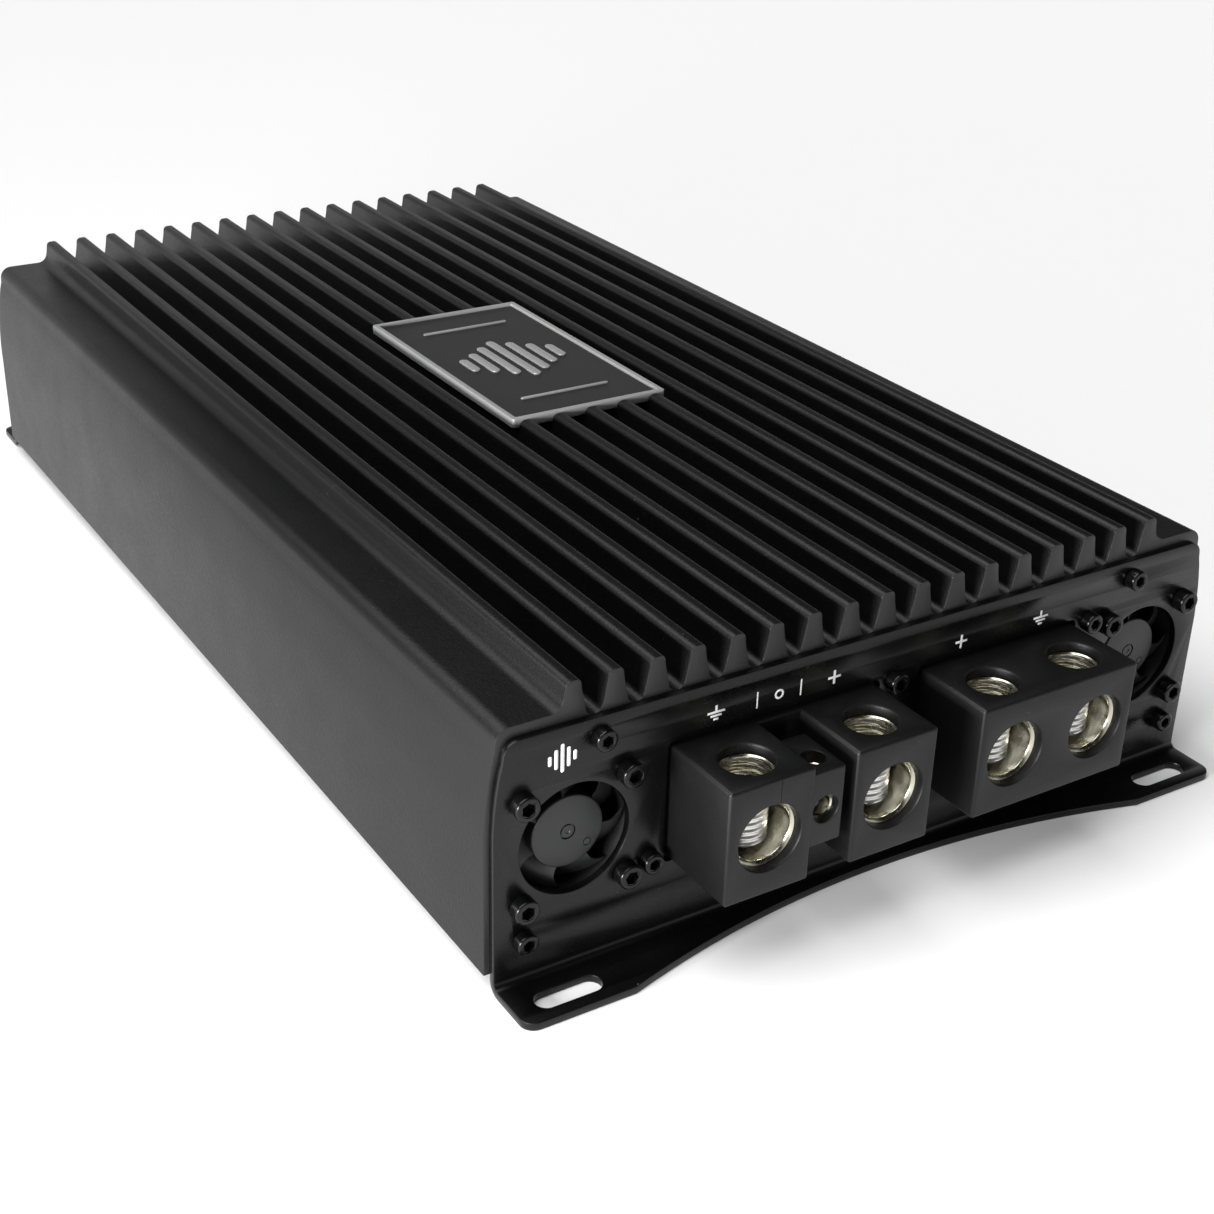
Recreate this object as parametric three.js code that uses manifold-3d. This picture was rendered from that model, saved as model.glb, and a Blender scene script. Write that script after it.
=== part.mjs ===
// Car audio amplifier: a finned extruded shell, two bent end panels with mounting flanges,
// two cooling fans, moulded power terminals with clamp screws, speaker outputs and controls.
// Millimetres. X is across, Y is along the fins with the power terminals at -Y, Z is up.
// The origin is under the middle of the amplifier, on the plane it is bolted to.
import * as THREE from 'three';
import { mergeVertices } from 'three/addons/utils/BufferGeometryUtils.js';
import Module from 'manifold-3d';

const wasm = await Module();
wasm.setup();

// ---------------------------------------------------------------- shell
const SHELL_LENGTH = 320;
const SHELL_WIDTH = 191.6;
const SHELL_BOTTOM = 4.3;
const SHOULDER_TOP = 60.2;
const CORNER_ROUND = 3.4;
const SIDE_WALL = 3.2;
const TOP_WALL = 3.6;
const FIN_COUNT = 17;
const FIN_RISE = 6.2;
const FIN_EDGE_INSET = 19.64;
const FIN_TIP_HALF = 1.85;
const FIN_TIP_ROUND = 0.9;
const FIN_ROOT_HALF = 3.3;
const FIN_FILLET = 2.9;
const VALLEY_DROP = 2.4;
const CEILING_ROUND = 8;
const LOW_BOSS_WIDTH = 8.4;
const LOW_BOSS_TOP = 15.2;
const LOW_SCREW_INSET = 7.9;
const LOW_SCREW_Z = 11.5;
const HIGH_BOSS_HALF = 4;
const HIGH_BOSS_DROP = 4.4;
const HIGH_SCREW_INSET = 25;
const HIGH_SCREW_Z = 53.5;
const RAIL_WIDTH = 4;
const RAIL_HEIGHT = 2.7;
const COVER_THICKNESS = 1.5;
const COVER_CLEARANCE = 0.3;
// The side wall leans in towards the shoulder: how far in, at each depth below the shoulder.
const SIDE_LEAN = [[0, 24.2], [0.25, 20], [0.7, 15], [1.3, 10], [1.9, 6.6], [2.5, 4.4]];

const END_Y = SHELL_LENGTH / 2;
const HALF_WIDTH = SHELL_WIDTH / 2;
const FIN_TOP = SHOULDER_TOP + FIN_RISE;
const VALLEY = SHOULDER_TOP - VALLEY_DROP;
const CEILING = VALLEY - TOP_WALL;
const INNER_HALF = HALF_WIDTH - SIDE_WALL;
const FIRST_FIN = HALF_WIDTH - FIN_EDGE_INSET;
const FIN_PITCH = 2 * FIRST_FIN / (FIN_COUNT - 1);
const COVER_TOP = SHELL_BOTTOM + COVER_THICKNESS;
const RAIL_TOP = COVER_TOP + RAIL_HEIGHT;
const RAIL_INNER = INNER_HALF - LOW_BOSS_WIDTH - RAIL_WIDTH;
const LOW_SCREW_X = HALF_WIDTH - LOW_SCREW_INSET;
const HIGH_SCREW_X = HALF_WIDTH - HIGH_SCREW_INSET;

// ---------------------------------------------------------------- end panels
const SHEET = 1.8;
const PANEL_INSET = 1.2;
const PANEL_CORNER = 3.4;
const PANEL_ABOVE_VALLEY = 0.1;
const BEND_INSIDE = 1.6;
const FLANGE_REACH = 15.3;
const FLANGE_HOLLOW = 10.3;
const FLANGE_PAD = 25;
const FLANGE_CORNER = 3.2;
const SLOT_LENGTH = 15.2;
const SLOT_WIDTH = 5.2;
const SLOT_EDGE_INSET = 12.6;
const SLOT_Y = 9.6;
const CUTOUT_CLEARANCE = 0.9;
const CUTOUT_CORNER = 1.2;
const PANEL_LEAN = [[0, 20], [0.35, 15], [1.1, 9.2], [2.1, 4.4]];

const PANEL_TOP = VALLEY + PANEL_ABOVE_VALLEY;
const PANEL_HALF = HALF_WIDTH - PANEL_INSET;
const PANEL_FACE = END_Y + SHEET;

// ---------------------------------------------------------------- screws
const M3 = { head: 2.75, height: 3, shank: 1.45, hole: 1.75, socket: 1.45, length: 11 };
const M25 = { head: 2.4, height: 2.6, shank: 1.2, hole: 1.5, socket: 1.15, length: 9 };
const SHORT_LENGTH = 4.6;
const SOCKET_DEPTH = 1.7;

// ---------------------------------------------------------------- fans
const FAN_SIZE = 30;
const FAN_DEPTH = 10;
const FAN_CORNER_ROUND = 2.2;
const FAN_HOLE_INSET = 3;
const FAN_RIM = 1.4;
const WINDOW_LIP = 1;
const BLADE_CLEARANCE = 0.7;
const FAN_SIDE_GAP = 1.2;
const FAN_Z = 31.8;
const HUB_SHARE = 0.55;
const HUB_SETBACK = 0.9;
const HUB_DEPTH = 6.4;
const HUB_WALL = 1.1;
const BLADE_COUNT = 7;
const BLADE_THICKNESS = 0.9;
const ROTOR_GAP = 0.5;
const SHAFT_RADIUS = 1;
const SHAFT_GAP = 0.3;
const STRUT_WIDTH = 1.6;
const STRUT_DEPTH = 1.8;
const FAN_CORNERS = [[-1, 1], [1, 1], [1, -1], [-1, -1]];

const FAN_X = INNER_HALF - FAN_SIDE_GAP - FAN_SIZE / 2;
const FAN_INNER_EDGE = FAN_X - FAN_SIZE / 2;
const FAN_HOLE_REACH = FAN_SIZE / 2 - FAN_HOLE_INSET;
const FAN_BORE = FAN_SIZE / 2 - FAN_RIM;
const FAN_WINDOW = FAN_BORE - WINDOW_LIP;
const BLADE_TIP = FAN_BORE - BLADE_CLEARANCE;
const HUB_RADIUS = HUB_SHARE * FAN_SIZE / 2;

// ---------------------------------------------------------------- power and speaker terminals
const CABLE_BORE = 6.4;
const CABLE_Z = 32.7;
const BORE_DEPTH = 17;
const BORE_CHAMFER = 0.75;
const BORE_SIDE_WALL = 1.5;
const BORE_FLOOR = 4.3;
const MOUTH_RIM = 1.2;
const INSERT_TOP = 43.7;
const INSERT_CLEARANCE = 0.15;
const THREAD_INSET = 1.2;
const KEY_HOLE_RIM = 0.65;
const CLAMP_GAP = 0.3;
const CLAMP_LENGTH = 11;
const CLAMP_TIP_RISE = 1.5;
const CLAMP_SETBACK = 9.3;
const TAIL_WIDTH = 8;
const TAIL_THICKNESS = 3;
const TAIL_REACH = 11;

const BLOCK_TOP = 46.1;
const BLOCK_BOTTOM = 19.5;
const BLOCK_REACH = 22.1;
const BLOCK_CORNER = 1.4;
const FRONT_WALL = 2;
const CUBE_WALL = 2.4;
const CUBE_GAP = 10.4;
const PAIR_SPACING = 23.2;
const HOUSING_FLANGE = 3;
const FLANGE_SIDE_LIP = 1.7;
const FLANGE_END_LIP = 2.8;
const WEB_PROUD = 0.8;
const EAR_RADIUS = 2.4;
const EAR_LOW_REACH = 4.6;
const EAR_HIGH_REACH = 4.7;
const EAR_LOW_Z = 20.8;
const EAR_HIGH_Z = 45.7;
const EAR_FAN_GAP = 0.3;
const PAIR_FAN_GAP = 0.6;

const CABLE_MOUTH = CABLE_BORE + MOUTH_RIM;
const CLAMP_THREAD = CABLE_BORE - THREAD_INSET;
const CLAMP_RADIUS = CLAMP_THREAD - CLAMP_GAP;
const CLAMP_TIP_Z = CABLE_Z - CABLE_BORE + CLAMP_TIP_RISE;
const KEY_HOLE = CLAMP_THREAD + KEY_HOLE_RIM;
const INSERT_WIDTH = 2 * (CABLE_BORE + BORE_SIDE_WALL);
const INSERT_BOTTOM = CABLE_Z - CABLE_BORE - BORE_FLOOR;
const BLOCK_FACE = END_Y + BLOCK_REACH;
const INSERT_FACE = BLOCK_FACE - FRONT_WALL;
const CLAMP_Y = BLOCK_FACE - CLAMP_SETBACK;
const CUBE_WIDTH = INSERT_WIDTH + 2 * CUBE_WALL;
const PAIR_WIDTH = CUBE_WIDTH + PAIR_SPACING;
const GROUND_X = CUBE_WIDTH / 2 + EAR_LOW_REACH + EAR_RADIUS + EAR_FAN_GAP - FAN_INNER_EDGE;
const PLUS_X = GROUND_X + CUBE_WIDTH + CUBE_GAP;
const PAIR_X = FAN_INNER_EDGE - PAIR_FAN_GAP - EAR_RADIUS - EAR_HIGH_REACH - PAIR_WIDTH / 2;
const BLOCK_SCREWS = {
  lower_left: [GROUND_X - CUBE_WIDTH / 2 - EAR_LOW_REACH, EAR_LOW_Z],
  upper_left: [PLUS_X + CUBE_WIDTH / 2 + EAR_HIGH_REACH, EAR_HIGH_Z],
  lower_right: [PAIR_X - PAIR_WIDTH / 2 - EAR_LOW_REACH, EAR_LOW_Z],
  upper_right: [PAIR_X + PAIR_WIDTH / 2 + EAR_HIGH_REACH, EAR_HIGH_Z],
};

// ---------------------------------------------------------------- turn-on terminal
const REMOTE_WIDTH = 7.8;
const REMOTE_TOP = 44.3;
const REMOTE_BOTTOM = 26.7;
const REMOTE_X_OFFSET = 3.3;
const REMOTE_Z = 35.05;
const REMOTE_MOUTH = 3.15;
const REMOTE_BORE = 2.4;
const REMOTE_BORE_DEPTH = 9.5;
const REMOTE_FACE_STEP = 0.3;
const REMOTE_INSERT_HALF = 3.05;
const REMOTE_INSERT_BOTTOM = 30.4;
const REMOTE_INSERT_TOP = 41.6;
const REMOTE_SETBACK = 5.7;
const REMOTE_KEY = 2.6;
const REMOTE_THREAD = 2.2;
const REMOTE_TIP_Z = 33.5;
const REMOTE_LENGTH = 6.5;
const REMOTE_BACK = 5.9;
const REMOTE_TAIL_WIDTH = 3;
const REMOTE_TAIL_THICKNESS = 2;
const STEP_TOP = 38;

const REMOTE_LEFT = GROUND_X + CUBE_WIDTH / 2;
const REMOTE_RIGHT = REMOTE_LEFT + REMOTE_WIDTH;
const REMOTE_X = REMOTE_LEFT + REMOTE_X_OFFSET;
const REMOTE_FACE = INSERT_FACE + 0.1;
const REMOTE_SCREW_Y = BLOCK_FACE - REMOTE_SETBACK;
const REMOTE_INSERT_BACK = PANEL_FACE + REMOTE_BACK + 1;

// ---------------------------------------------------------------- rear fittings
const SPEAKER_X = -40;
const RCA_X = 14;
const RCA_Z = 33;
const RCA_SPACING = 15;
const RCA_BARREL = 4.2;
const RCA_PIN_HOLE = 1.7;
const RCA_HOLE_CLEARANCE = 1;
const RCA_PROUD = 8;
const RCA_BODY_DEPTH = 14;
const RCA_BODY_MARGIN = 7;
const KNOB_NAMES = ['gain', 'low_pass', 'subsonic', 'bass_boost'];
const KNOB_X = 42;
const KNOB_PITCH = 12;
const KNOB_Z = 41;
const KNOB_RADIUS = 3.2;
const KNOB_PROUD = 5;
const KNOB_SHAFT = 1.5;
const KNOB_SHAFT_GAP = 0.3;
const KNOB_HOLE_CLEARANCE = 0.5;
const POT_HALF = 4.8;
const POT_SETBACK = 3;
const CONTROL_SETBACK = 16;
const PORT_X = 44;
const PORT_Z = 21;
const PORT_HALF_WIDTH = 6.7;
const PORT_HALF_HEIGHT = 5.9;
const PORT_WALL = 1.8;
const PORT_DEPTH = 13;
const PORT_CLEARANCE = 0.5;
const LAMP_X = 66;
const LAMP_Z = 21;
const LAMP_RADIUS = 1.6;
const LAMP_CLEARANCE = 0.3;

// ---------------------------------------------------------------- inside
const BOARD_THICKNESS = 1.6;
const BOARD_END_GAP = 4;
const BOARD_SIDE_GAP = 0.3;
const TOROID_RADIUS = 25;
const TOROID_HEIGHT = 22;
const TOROID_HOLE = 9;
const TOROID_ROUND = 4;
const TOROID_X = 32;
const TOROID_Y_SHARE = -0.22;
const CAN_RADIUS = 8;
const CAN_HEIGHT = 34;
const CAN_PITCH = [20, 22];
const BANK_Y_SHARE = 0.115;
const BANK_MARGIN = 2;
const BANK_BASE = 4;
const BAR_WIDTH = 9;
const BAR_HEIGHT = 6;
const BAR_END_GAP = 30;
const BAR_SIDE_GAP = 2;
const TRANSISTOR_COUNT = 8;
const TRANSISTOR_WIDTH = 10;
const TRANSISTOR_HALF = 6;

const BOARD_TOP = RAIL_TOP + BOARD_THICKNESS;

// ---------------------------------------------------------------- badge
const BADGE_WIDTH = 45.2;
const BADGE_LENGTH = 81;
const BADGE_THICKNESS = 2.4;
const BADGE_PROUD = 0.4;
const BADGE_CORNER = 0.8;
const BADGE_BORDER = 1.6;
const BADGE_FIELD_DROP = 0.7;
const BADGE_CLEARANCE = 0.4;

const BADGE_TOP = FIN_TOP + BADGE_PROUD;
const BADGE_BASE = BADGE_TOP - BADGE_THICKNESS;

// ---------------------------------------------------------------- materials
const POWDER = material(0x1b1c1e, 0.55, 0.3);
const SHEET_BLACK = material(0x17181a, 0.5, 0.2);
const MOULDED = material(0x1a1b1d, 0.65, 0);
const FAN_PLASTIC = material(0x2a2b2d, 0.5, 0);
const FAN_FRAME = material(0x0d0d0e, 0.6, 0);
const PLATED = material(0xd8cda6, 0.25, 1);
const OXIDE = material(0x1f2022, 0.3, 0.9);
const SILVER = material(0xb9bbbd, 0.35, 0.9);
const BOARD = material(0x14532d, 0.6, 0);
const WINDING = material(0xb0692f, 0.4, 0.6);
const CAN = material(0x20242c, 0.4, 0.1);
const ALUMINIUM = material(0xa9abad, 0.4, 1);
const CLEAR = material(0xd9e6f2, 0.15, 0);
const NICKEL = material(0xc4c6c8, 0.2, 1);

function material(color, roughness, metalness) {
  return new THREE.MeshStandardMaterial({ color, roughness, metalness });
}

// ---------------------------------------------------------------- solids
function solid(geometry) {
  const g = geometry.clone();
  g.deleteAttribute('normal');
  g.deleteAttribute('uv');
  const merged = mergeVertices(g, 1e-4);
  return new wasm.Manifold(new wasm.Mesh({
    numProp: 3,
    vertProperties: new Float32Array(merged.attributes.position.array),
    triVerts: new Uint32Array(merged.index.array),
  }));
}

function geometryOf(body) {
  const mesh = body.getMesh();
  const g = new THREE.BufferGeometry();
  g.setAttribute('position', new THREE.BufferAttribute(mesh.vertProperties, 3));
  g.setIndex(new THREE.BufferAttribute(mesh.triVerts, 1));
  g.computeVertexNormals();
  return g;
}

function join(...bodies) {
  return bodies.reduce((a, b) => a.add(b));
}

function cut(body, ...tools) {
  return tools.reduce((a, b) => a.subtract(b), body);
}

// A shape drawn in X and Y, standing from z0 up to z1.
function prismZ(shape, z0, z1, curveSegments = 12) {
  const depth = z1 - z0;
  const g = new THREE.ExtrudeGeometry(shape, { depth, bevelEnabled: false, curveSegments });
  return solid(g.translate(0, 0, z0));
}

// A shape drawn in X and Z, running from y0 to y1.
function prismY(shape, y0, y1, curveSegments = 12) {
  const depth = y1 - y0;
  const g = new THREE.ExtrudeGeometry(shape, { depth, bevelEnabled: false, curveSegments });
  const turn = new THREE.Matrix4().set(1, 0, 0, 0, 0, 0, -1, 0, 0, 1, 0, 0, 0, 0, 0, 1);
  return solid(g.applyMatrix4(turn).translate(0, y1, 0));
}

// A shape drawn in Y and Z, running from x0 to x1.
function prismX(shape, x0, x1, curveSegments = 12) {
  const depth = x1 - x0;
  const g = new THREE.ExtrudeGeometry(shape, { depth, bevelEnabled: false, curveSegments });
  const turn = new THREE.Matrix4().set(0, 0, 1, 0, 1, 0, 0, 0, 0, 1, 0, 0, 0, 0, 0, 1);
  return solid(g.applyMatrix4(turn).translate(x0, 0, 0));
}

function box(x0, x1, y0, y1, z0, z1) {
  const g = new THREE.BoxGeometry(x1 - x0, y1 - y0, z1 - z0);
  return solid(g.translate((x0 + x1) / 2, (y0 + y1) / 2, (z0 + z1) / 2));
}

// A profile of [radius, along] points turned about the Y direction, its start at y.
function turnedY(points, x, y, z, segments = 24) {
  const profile = points.map(([r, a]) => new THREE.Vector2(r, a));
  return solid(new THREE.LatheGeometry(profile, segments).translate(x, y, z));
}

// The same about the Z direction.
function turnedZ(points, x, y, z, segments = 24) {
  const profile = points.map(([r, a]) => new THREE.Vector2(r, a));
  const turn = new THREE.Matrix4().set(1, 0, 0, 0, 0, 0, -1, 0, 0, 1, 0, 0, 0, 0, 0, 1);
  return solid(new THREE.LatheGeometry(profile, segments).applyMatrix4(turn).translate(x, y, z));
}

function rodY(x, z, radius, y0, y1, segments = 24) {
  return turnedY([[0, 0], [radius, 0], [radius, y1 - y0], [0, y1 - y0]], x, y0, z, segments);
}

function rodZ(x, y, radius, z0, z1, segments = 24) {
  return turnedZ([[0, 0], [radius, 0], [radius, z1 - z0], [0, z1 - z0]], x, y, z0, segments);
}

// Half a turn about Z, which takes a front fitting to the rear.
function toRear(body) {
  const g = geometryOf(body);
  return solid(g.applyMatrix4(new THREE.Matrix4().makeScale(-1, -1, 1)));
}

function circleHole(x, y, radius, segments = 10) {
  const path = new THREE.Path();
  for (let i = 0; i < segments; i++) {
    const a = (i + 0.5) * 2 * Math.PI / segments;
    const px = x + radius * Math.cos(a);
    const py = y - radius * Math.sin(a);
    if (i === 0) path.moveTo(px, py);
    else path.lineTo(px, py);
  }
  return path;
}

function roundedRect(x0, x1, y0, y1, r, path = new THREE.Shape()) {
  path.moveTo(x0 + r, y0);
  path.lineTo(x1 - r, y0);
  path.absarc(x1 - r, y0 + r, r, -Math.PI / 2, 0, false);
  path.lineTo(x1, y1 - r);
  path.absarc(x1 - r, y1 - r, r, 0, Math.PI / 2, false);
  path.lineTo(x0 + r, y1);
  path.absarc(x0 + r, y1 - r, r, Math.PI / 2, Math.PI, false);
  path.lineTo(x0, y0 + r);
  path.absarc(x0 + r, y0 + r, r, Math.PI, 1.5 * Math.PI, false);
  return path;
}

// A rectangular cutout around a fitting, centred on x, between the heights z0 and z1.
function cutout(x, half, z0, z1, clearance = CUTOUT_CLEARANCE) {
  const c = clearance;
  return roundedRect(x - half - c, x + half + c, z0 - c, z1 + c, CUTOUT_CORNER, new THREE.Path());
}

function hexagon(x, y, flatHalf) {
  const shape = new THREE.Shape();
  const corner = flatHalf / Math.cos(Math.PI / 6);
  for (let i = 0; i < 6; i++) {
    const a = Math.PI / 6 + i * Math.PI / 3;
    const px = x + corner * Math.cos(a);
    const py = y + corner * Math.sin(a);
    if (i === 0) shape.moveTo(px, py);
    else shape.lineTo(px, py);
  }
  return shape;
}

const amplifier = new THREE.Group();

function piece(name, body, mat) {
  const mesh = new THREE.Mesh(geometryOf(body), mat);
  mesh.name = name;
  amplifier.add(mesh);
}

// ---------------------------------------------------------------- heatsink shell
function shellProfile() {
  const s = new THREE.Shape();
  const half = HALF_WIDTH;
  const [topInset] = SIDE_LEAN[SIDE_LEAN.length - 1];
  const cornerX = half - topInset - CORNER_ROUND;
  const cornerZ = SHOULDER_TOP - CORNER_ROUND;
  const footX = FIRST_FIN + FIN_TIP_HALF + 0.35 + FIN_FILLET;
  const footZ = SHOULDER_TOP + FIN_FILLET;
  s.moveTo(half, SHELL_BOTTOM);
  for (const [inset, below] of SIDE_LEAN) s.lineTo(half - inset, SHOULDER_TOP - below);
  s.absarc(cornerX, cornerZ, CORNER_ROUND, 0.25, Math.PI / 2, false);
  s.absarc(footX, footZ, FIN_FILLET, 1.5 * Math.PI, Math.PI + 0.12, true);
  for (let i = FIN_COUNT - 1; i >= 0; i--) {
    const x = -FIRST_FIN + i * FIN_PITCH;
    finTop(s, x);
    if (i > 0) valley(s, x, x - FIN_PITCH);
  }
  s.absarc(-footX, footZ, FIN_FILLET, -0.12, -0.5 * Math.PI, true);
  s.absarc(-cornerX, cornerZ, CORNER_ROUND, Math.PI / 2, Math.PI - 0.25, false);
  for (const [inset, below] of [...SIDE_LEAN].reverse()) {
    s.lineTo(-half + inset, SHOULDER_TOP - below);
  }
  s.lineTo(-half, SHELL_BOTTOM);
  innerSide(s, -1);
  innerSide(s, 1);
  return s;
}

function finTop(s, x) {
  const r = FIN_TIP_ROUND;
  const h = FIN_TIP_HALF;
  s.lineTo(x + h, FIN_TOP - r);
  s.lineTo(x + h - 0.3 * r, FIN_TOP - 0.3 * r);
  s.lineTo(x + h - r, FIN_TOP);
  s.lineTo(x - h + r, FIN_TOP);
  s.lineTo(x - h + 0.3 * r, FIN_TOP - 0.3 * r);
  s.lineTo(x - h, FIN_TOP - r);
}

function valley(s, fromX, toX) {
  const a = fromX - FIN_ROOT_HALF;
  const b = toX + FIN_ROOT_HALF;
  s.lineTo(a, VALLEY + 1);
  s.lineTo(a - 0.3, VALLEY + 0.3);
  s.lineTo(a - 0.95, VALLEY);
  s.lineTo(b + 0.95, VALLEY);
  s.lineTo(b + 0.3, VALLEY + 0.3);
  s.lineTo(b, VALLEY + 1);
}

// Lower screw boss with the board rail, then the ceiling with its upper screw boss.
function innerSide(s, side) {
  const roundMiddle = CEILING_ROUND * (1 - Math.SQRT1_2);
  const bossX = INNER_HALF - LOW_BOSS_WIDTH;
  const points = [
    [INNER_HALF, SHELL_BOTTOM],
    [INNER_HALF, COVER_TOP],
    [RAIL_INNER, COVER_TOP],
    [RAIL_INNER, RAIL_TOP],
    [bossX, RAIL_TOP],
    [bossX, LOW_BOSS_TOP],
    [INNER_HALF, LOW_BOSS_TOP],
    [INNER_HALF, CEILING - CEILING_ROUND],
    [INNER_HALF - roundMiddle, CEILING - roundMiddle],
    [INNER_HALF - CEILING_ROUND, CEILING],
    [HIGH_SCREW_X + HIGH_BOSS_HALF, CEILING],
    [HIGH_SCREW_X + HIGH_BOSS_HALF, CEILING - HIGH_BOSS_DROP],
    [HIGH_SCREW_X - HIGH_BOSS_HALF, CEILING - HIGH_BOSS_DROP],
    [HIGH_SCREW_X - HIGH_BOSS_HALF, CEILING],
  ];
  if (side > 0) points.reverse();
  for (const [x, z] of points) s.lineTo(side * x, z);
}

function heatsinkShell() {
  const profile = shellProfile();
  for (const side of [-1, 1]) {
    profile.holes.push(circleHole(side * LOW_SCREW_X, LOW_SCREW_Z, M25.hole));
    profile.holes.push(circleHole(side * HIGH_SCREW_X, HIGH_SCREW_Z, M25.hole));
  }
  const halfX = BADGE_WIDTH / 2 + BADGE_CLEARANCE;
  const halfY = BADGE_LENGTH / 2 + BADGE_CLEARANCE;
  const pocket = box(-halfX, halfX, -halfY, halfY, BADGE_BASE, FIN_TOP + 5);
  return cut(prismY(profile, -END_Y, END_Y, 6), pocket);
}

// ---------------------------------------------------------------- end panels
// Front view of the upright sheet, from the top of the bend to the top edge.
function panelOutline() {
  const s = new THREE.Shape();
  const base = SHEET + BEND_INSIDE;
  const half = PANEL_HALF;
  const [topInset] = PANEL_LEAN[PANEL_LEAN.length - 1];
  const cornerX = half - topInset - 0.15 - PANEL_CORNER;
  const cornerZ = PANEL_TOP - PANEL_CORNER;
  s.moveTo(-half, base);
  s.lineTo(half, base);
  for (const [inset, below] of PANEL_LEAN) s.lineTo(half - inset, PANEL_TOP - below);
  s.absarc(cornerX, cornerZ, PANEL_CORNER, 0.15, Math.PI / 2, false);
  s.absarc(-cornerX, cornerZ, PANEL_CORNER, Math.PI / 2, Math.PI - 0.15, false);
  for (const [inset, below] of [...PANEL_LEAN].reverse()) {
    s.lineTo(-half + inset, PANEL_TOP - below);
  }
  return s;
}

// Plan of the flange with its slots; its outer edge is straight at both ends, hollowed between.
function flangePlan() {
  const s = new THREE.Shape();
  const half = PANEL_HALF;
  const outer = -END_Y - FLANGE_REACH;
  const padX = half - FLANGE_PAD;
  const r = FLANGE_CORNER;
  s.moveTo(half, -END_Y + 5);
  s.lineTo(-half, -END_Y + 5);
  s.lineTo(-half, outer + r);
  s.absarc(-half + r, outer + r, r, Math.PI, 1.5 * Math.PI, false);
  s.lineTo(-padX, outer);
  const steps = 14;
  const curve = (padX * padX + FLANGE_HOLLOW * FLANGE_HOLLOW) / (2 * FLANGE_HOLLOW);
  for (let i = 1; i < steps; i++) {
    const x = -padX + 2 * padX * i / steps;
    s.lineTo(x, outer + FLANGE_HOLLOW - curve + Math.sqrt(curve * curve - x * x));
  }
  s.lineTo(padX, outer);
  s.lineTo(half - r, outer);
  s.absarc(half - r, outer + r, r, 1.5 * Math.PI, 2 * Math.PI, false);
  for (const side of [-1, 1]) {
    const x = side * (half - SLOT_EDGE_INSET);
    const y = -END_Y - SLOT_Y;
    const slot = roundedRect(x - SLOT_LENGTH / 2, x + SLOT_LENGTH / 2,
      y - SLOT_WIDTH / 2, y + SLOT_WIDTH / 2, SLOT_WIDTH / 2 - 1e-3, new THREE.Path());
    s.holes.push(slot);
  }
  return s;
}

// Section of the bend and flange in Y and Z.
function bendSection() {
  const s = new THREE.Shape();
  const back = -END_Y;
  const outer = back - FLANGE_REACH - 5;
  const r = BEND_INSIDE;
  s.moveTo(back, r + SHEET);
  s.lineTo(back - SHEET, r + SHEET);
  s.absarc(back - SHEET - r, r + SHEET, r, 0, -Math.PI / 2, true);
  s.lineTo(outer, SHEET);
  s.lineTo(outer, 0);
  s.lineTo(back - SHEET - r, 0);
  s.absarc(back - SHEET - r, r + SHEET, r + SHEET, -Math.PI / 2, 0, false);
  return s;
}

function bentPanel(holes) {
  const outline = panelOutline();
  for (const side of [-1, 1]) {
    holes.push(circleHole(side * LOW_SCREW_X, LOW_SCREW_Z, M25.hole));
    holes.push(circleHole(side * HIGH_SCREW_X, HIGH_SCREW_Z, M25.hole));
  }
  outline.holes.push(...holes);
  const upright = prismY(outline, -PANEL_FACE, -END_Y, 4);
  const bend = prismX(bendSection(), -PANEL_HALF, PANEL_HALF, 4);
  const foot = bend.intersect(prismZ(flangePlan(), -1, SHEET + BEND_INSIDE + 1, 5));
  return upright.add(foot);
}

function frontEndPanel() {
  const leftHalf = (PLUS_X - GROUND_X + CUBE_WIDTH) / 2;
  const holes = [
    cutout((GROUND_X + PLUS_X) / 2, leftHalf, BLOCK_BOTTOM, BLOCK_TOP),
    cutout(PAIR_X, PAIR_WIDTH / 2, BLOCK_BOTTOM, BLOCK_TOP),
  ];
  for (const side of [-1, 1]) {
    holes.push(circleHole(side * FAN_X, FAN_Z, FAN_WINDOW, 28));
    for (const [a, b] of FAN_CORNERS) {
      const x = side * FAN_X + a * FAN_HOLE_REACH;
      holes.push(circleHole(x, FAN_Z + b * FAN_HOLE_REACH, M3.hole));
    }
  }
  for (const [x, z] of Object.values(BLOCK_SCREWS)) holes.push(circleHole(x, z, M25.hole));
  return bentPanel(holes);
}

// Drawn as if it were at the front, then turned to the rear, so every X changes sign.
function rearEndPanel() {
  const holes = [
    cutout(-SPEAKER_X, PAIR_WIDTH / 2, BLOCK_BOTTOM, BLOCK_TOP),
    cutout(-PORT_X, PORT_HALF_WIDTH, PORT_Z - PORT_HALF_HEIGHT, PORT_Z + PORT_HALF_HEIGHT,
      PORT_CLEARANCE),
    circleHole(-LAMP_X, LAMP_Z, LAMP_RADIUS + LAMP_CLEARANCE),
  ];
  for (const [x, z] of SPEAKER_SCREWS) holes.push(circleHole(x, z, M25.hole));
  for (const side of [-1, 1]) {
    const x = RCA_X + side * RCA_SPACING / 2;
    holes.push(circleHole(-x, RCA_Z, RCA_BARREL + RCA_HOLE_CLEARANCE));
  }
  KNOB_NAMES.forEach((name, i) => {
    holes.push(circleHole(-KNOB_X - i * KNOB_PITCH, KNOB_Z, KNOB_RADIUS + KNOB_HOLE_CLEARANCE));
  });
  return toRear(bentPanel(holes));
}

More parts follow.
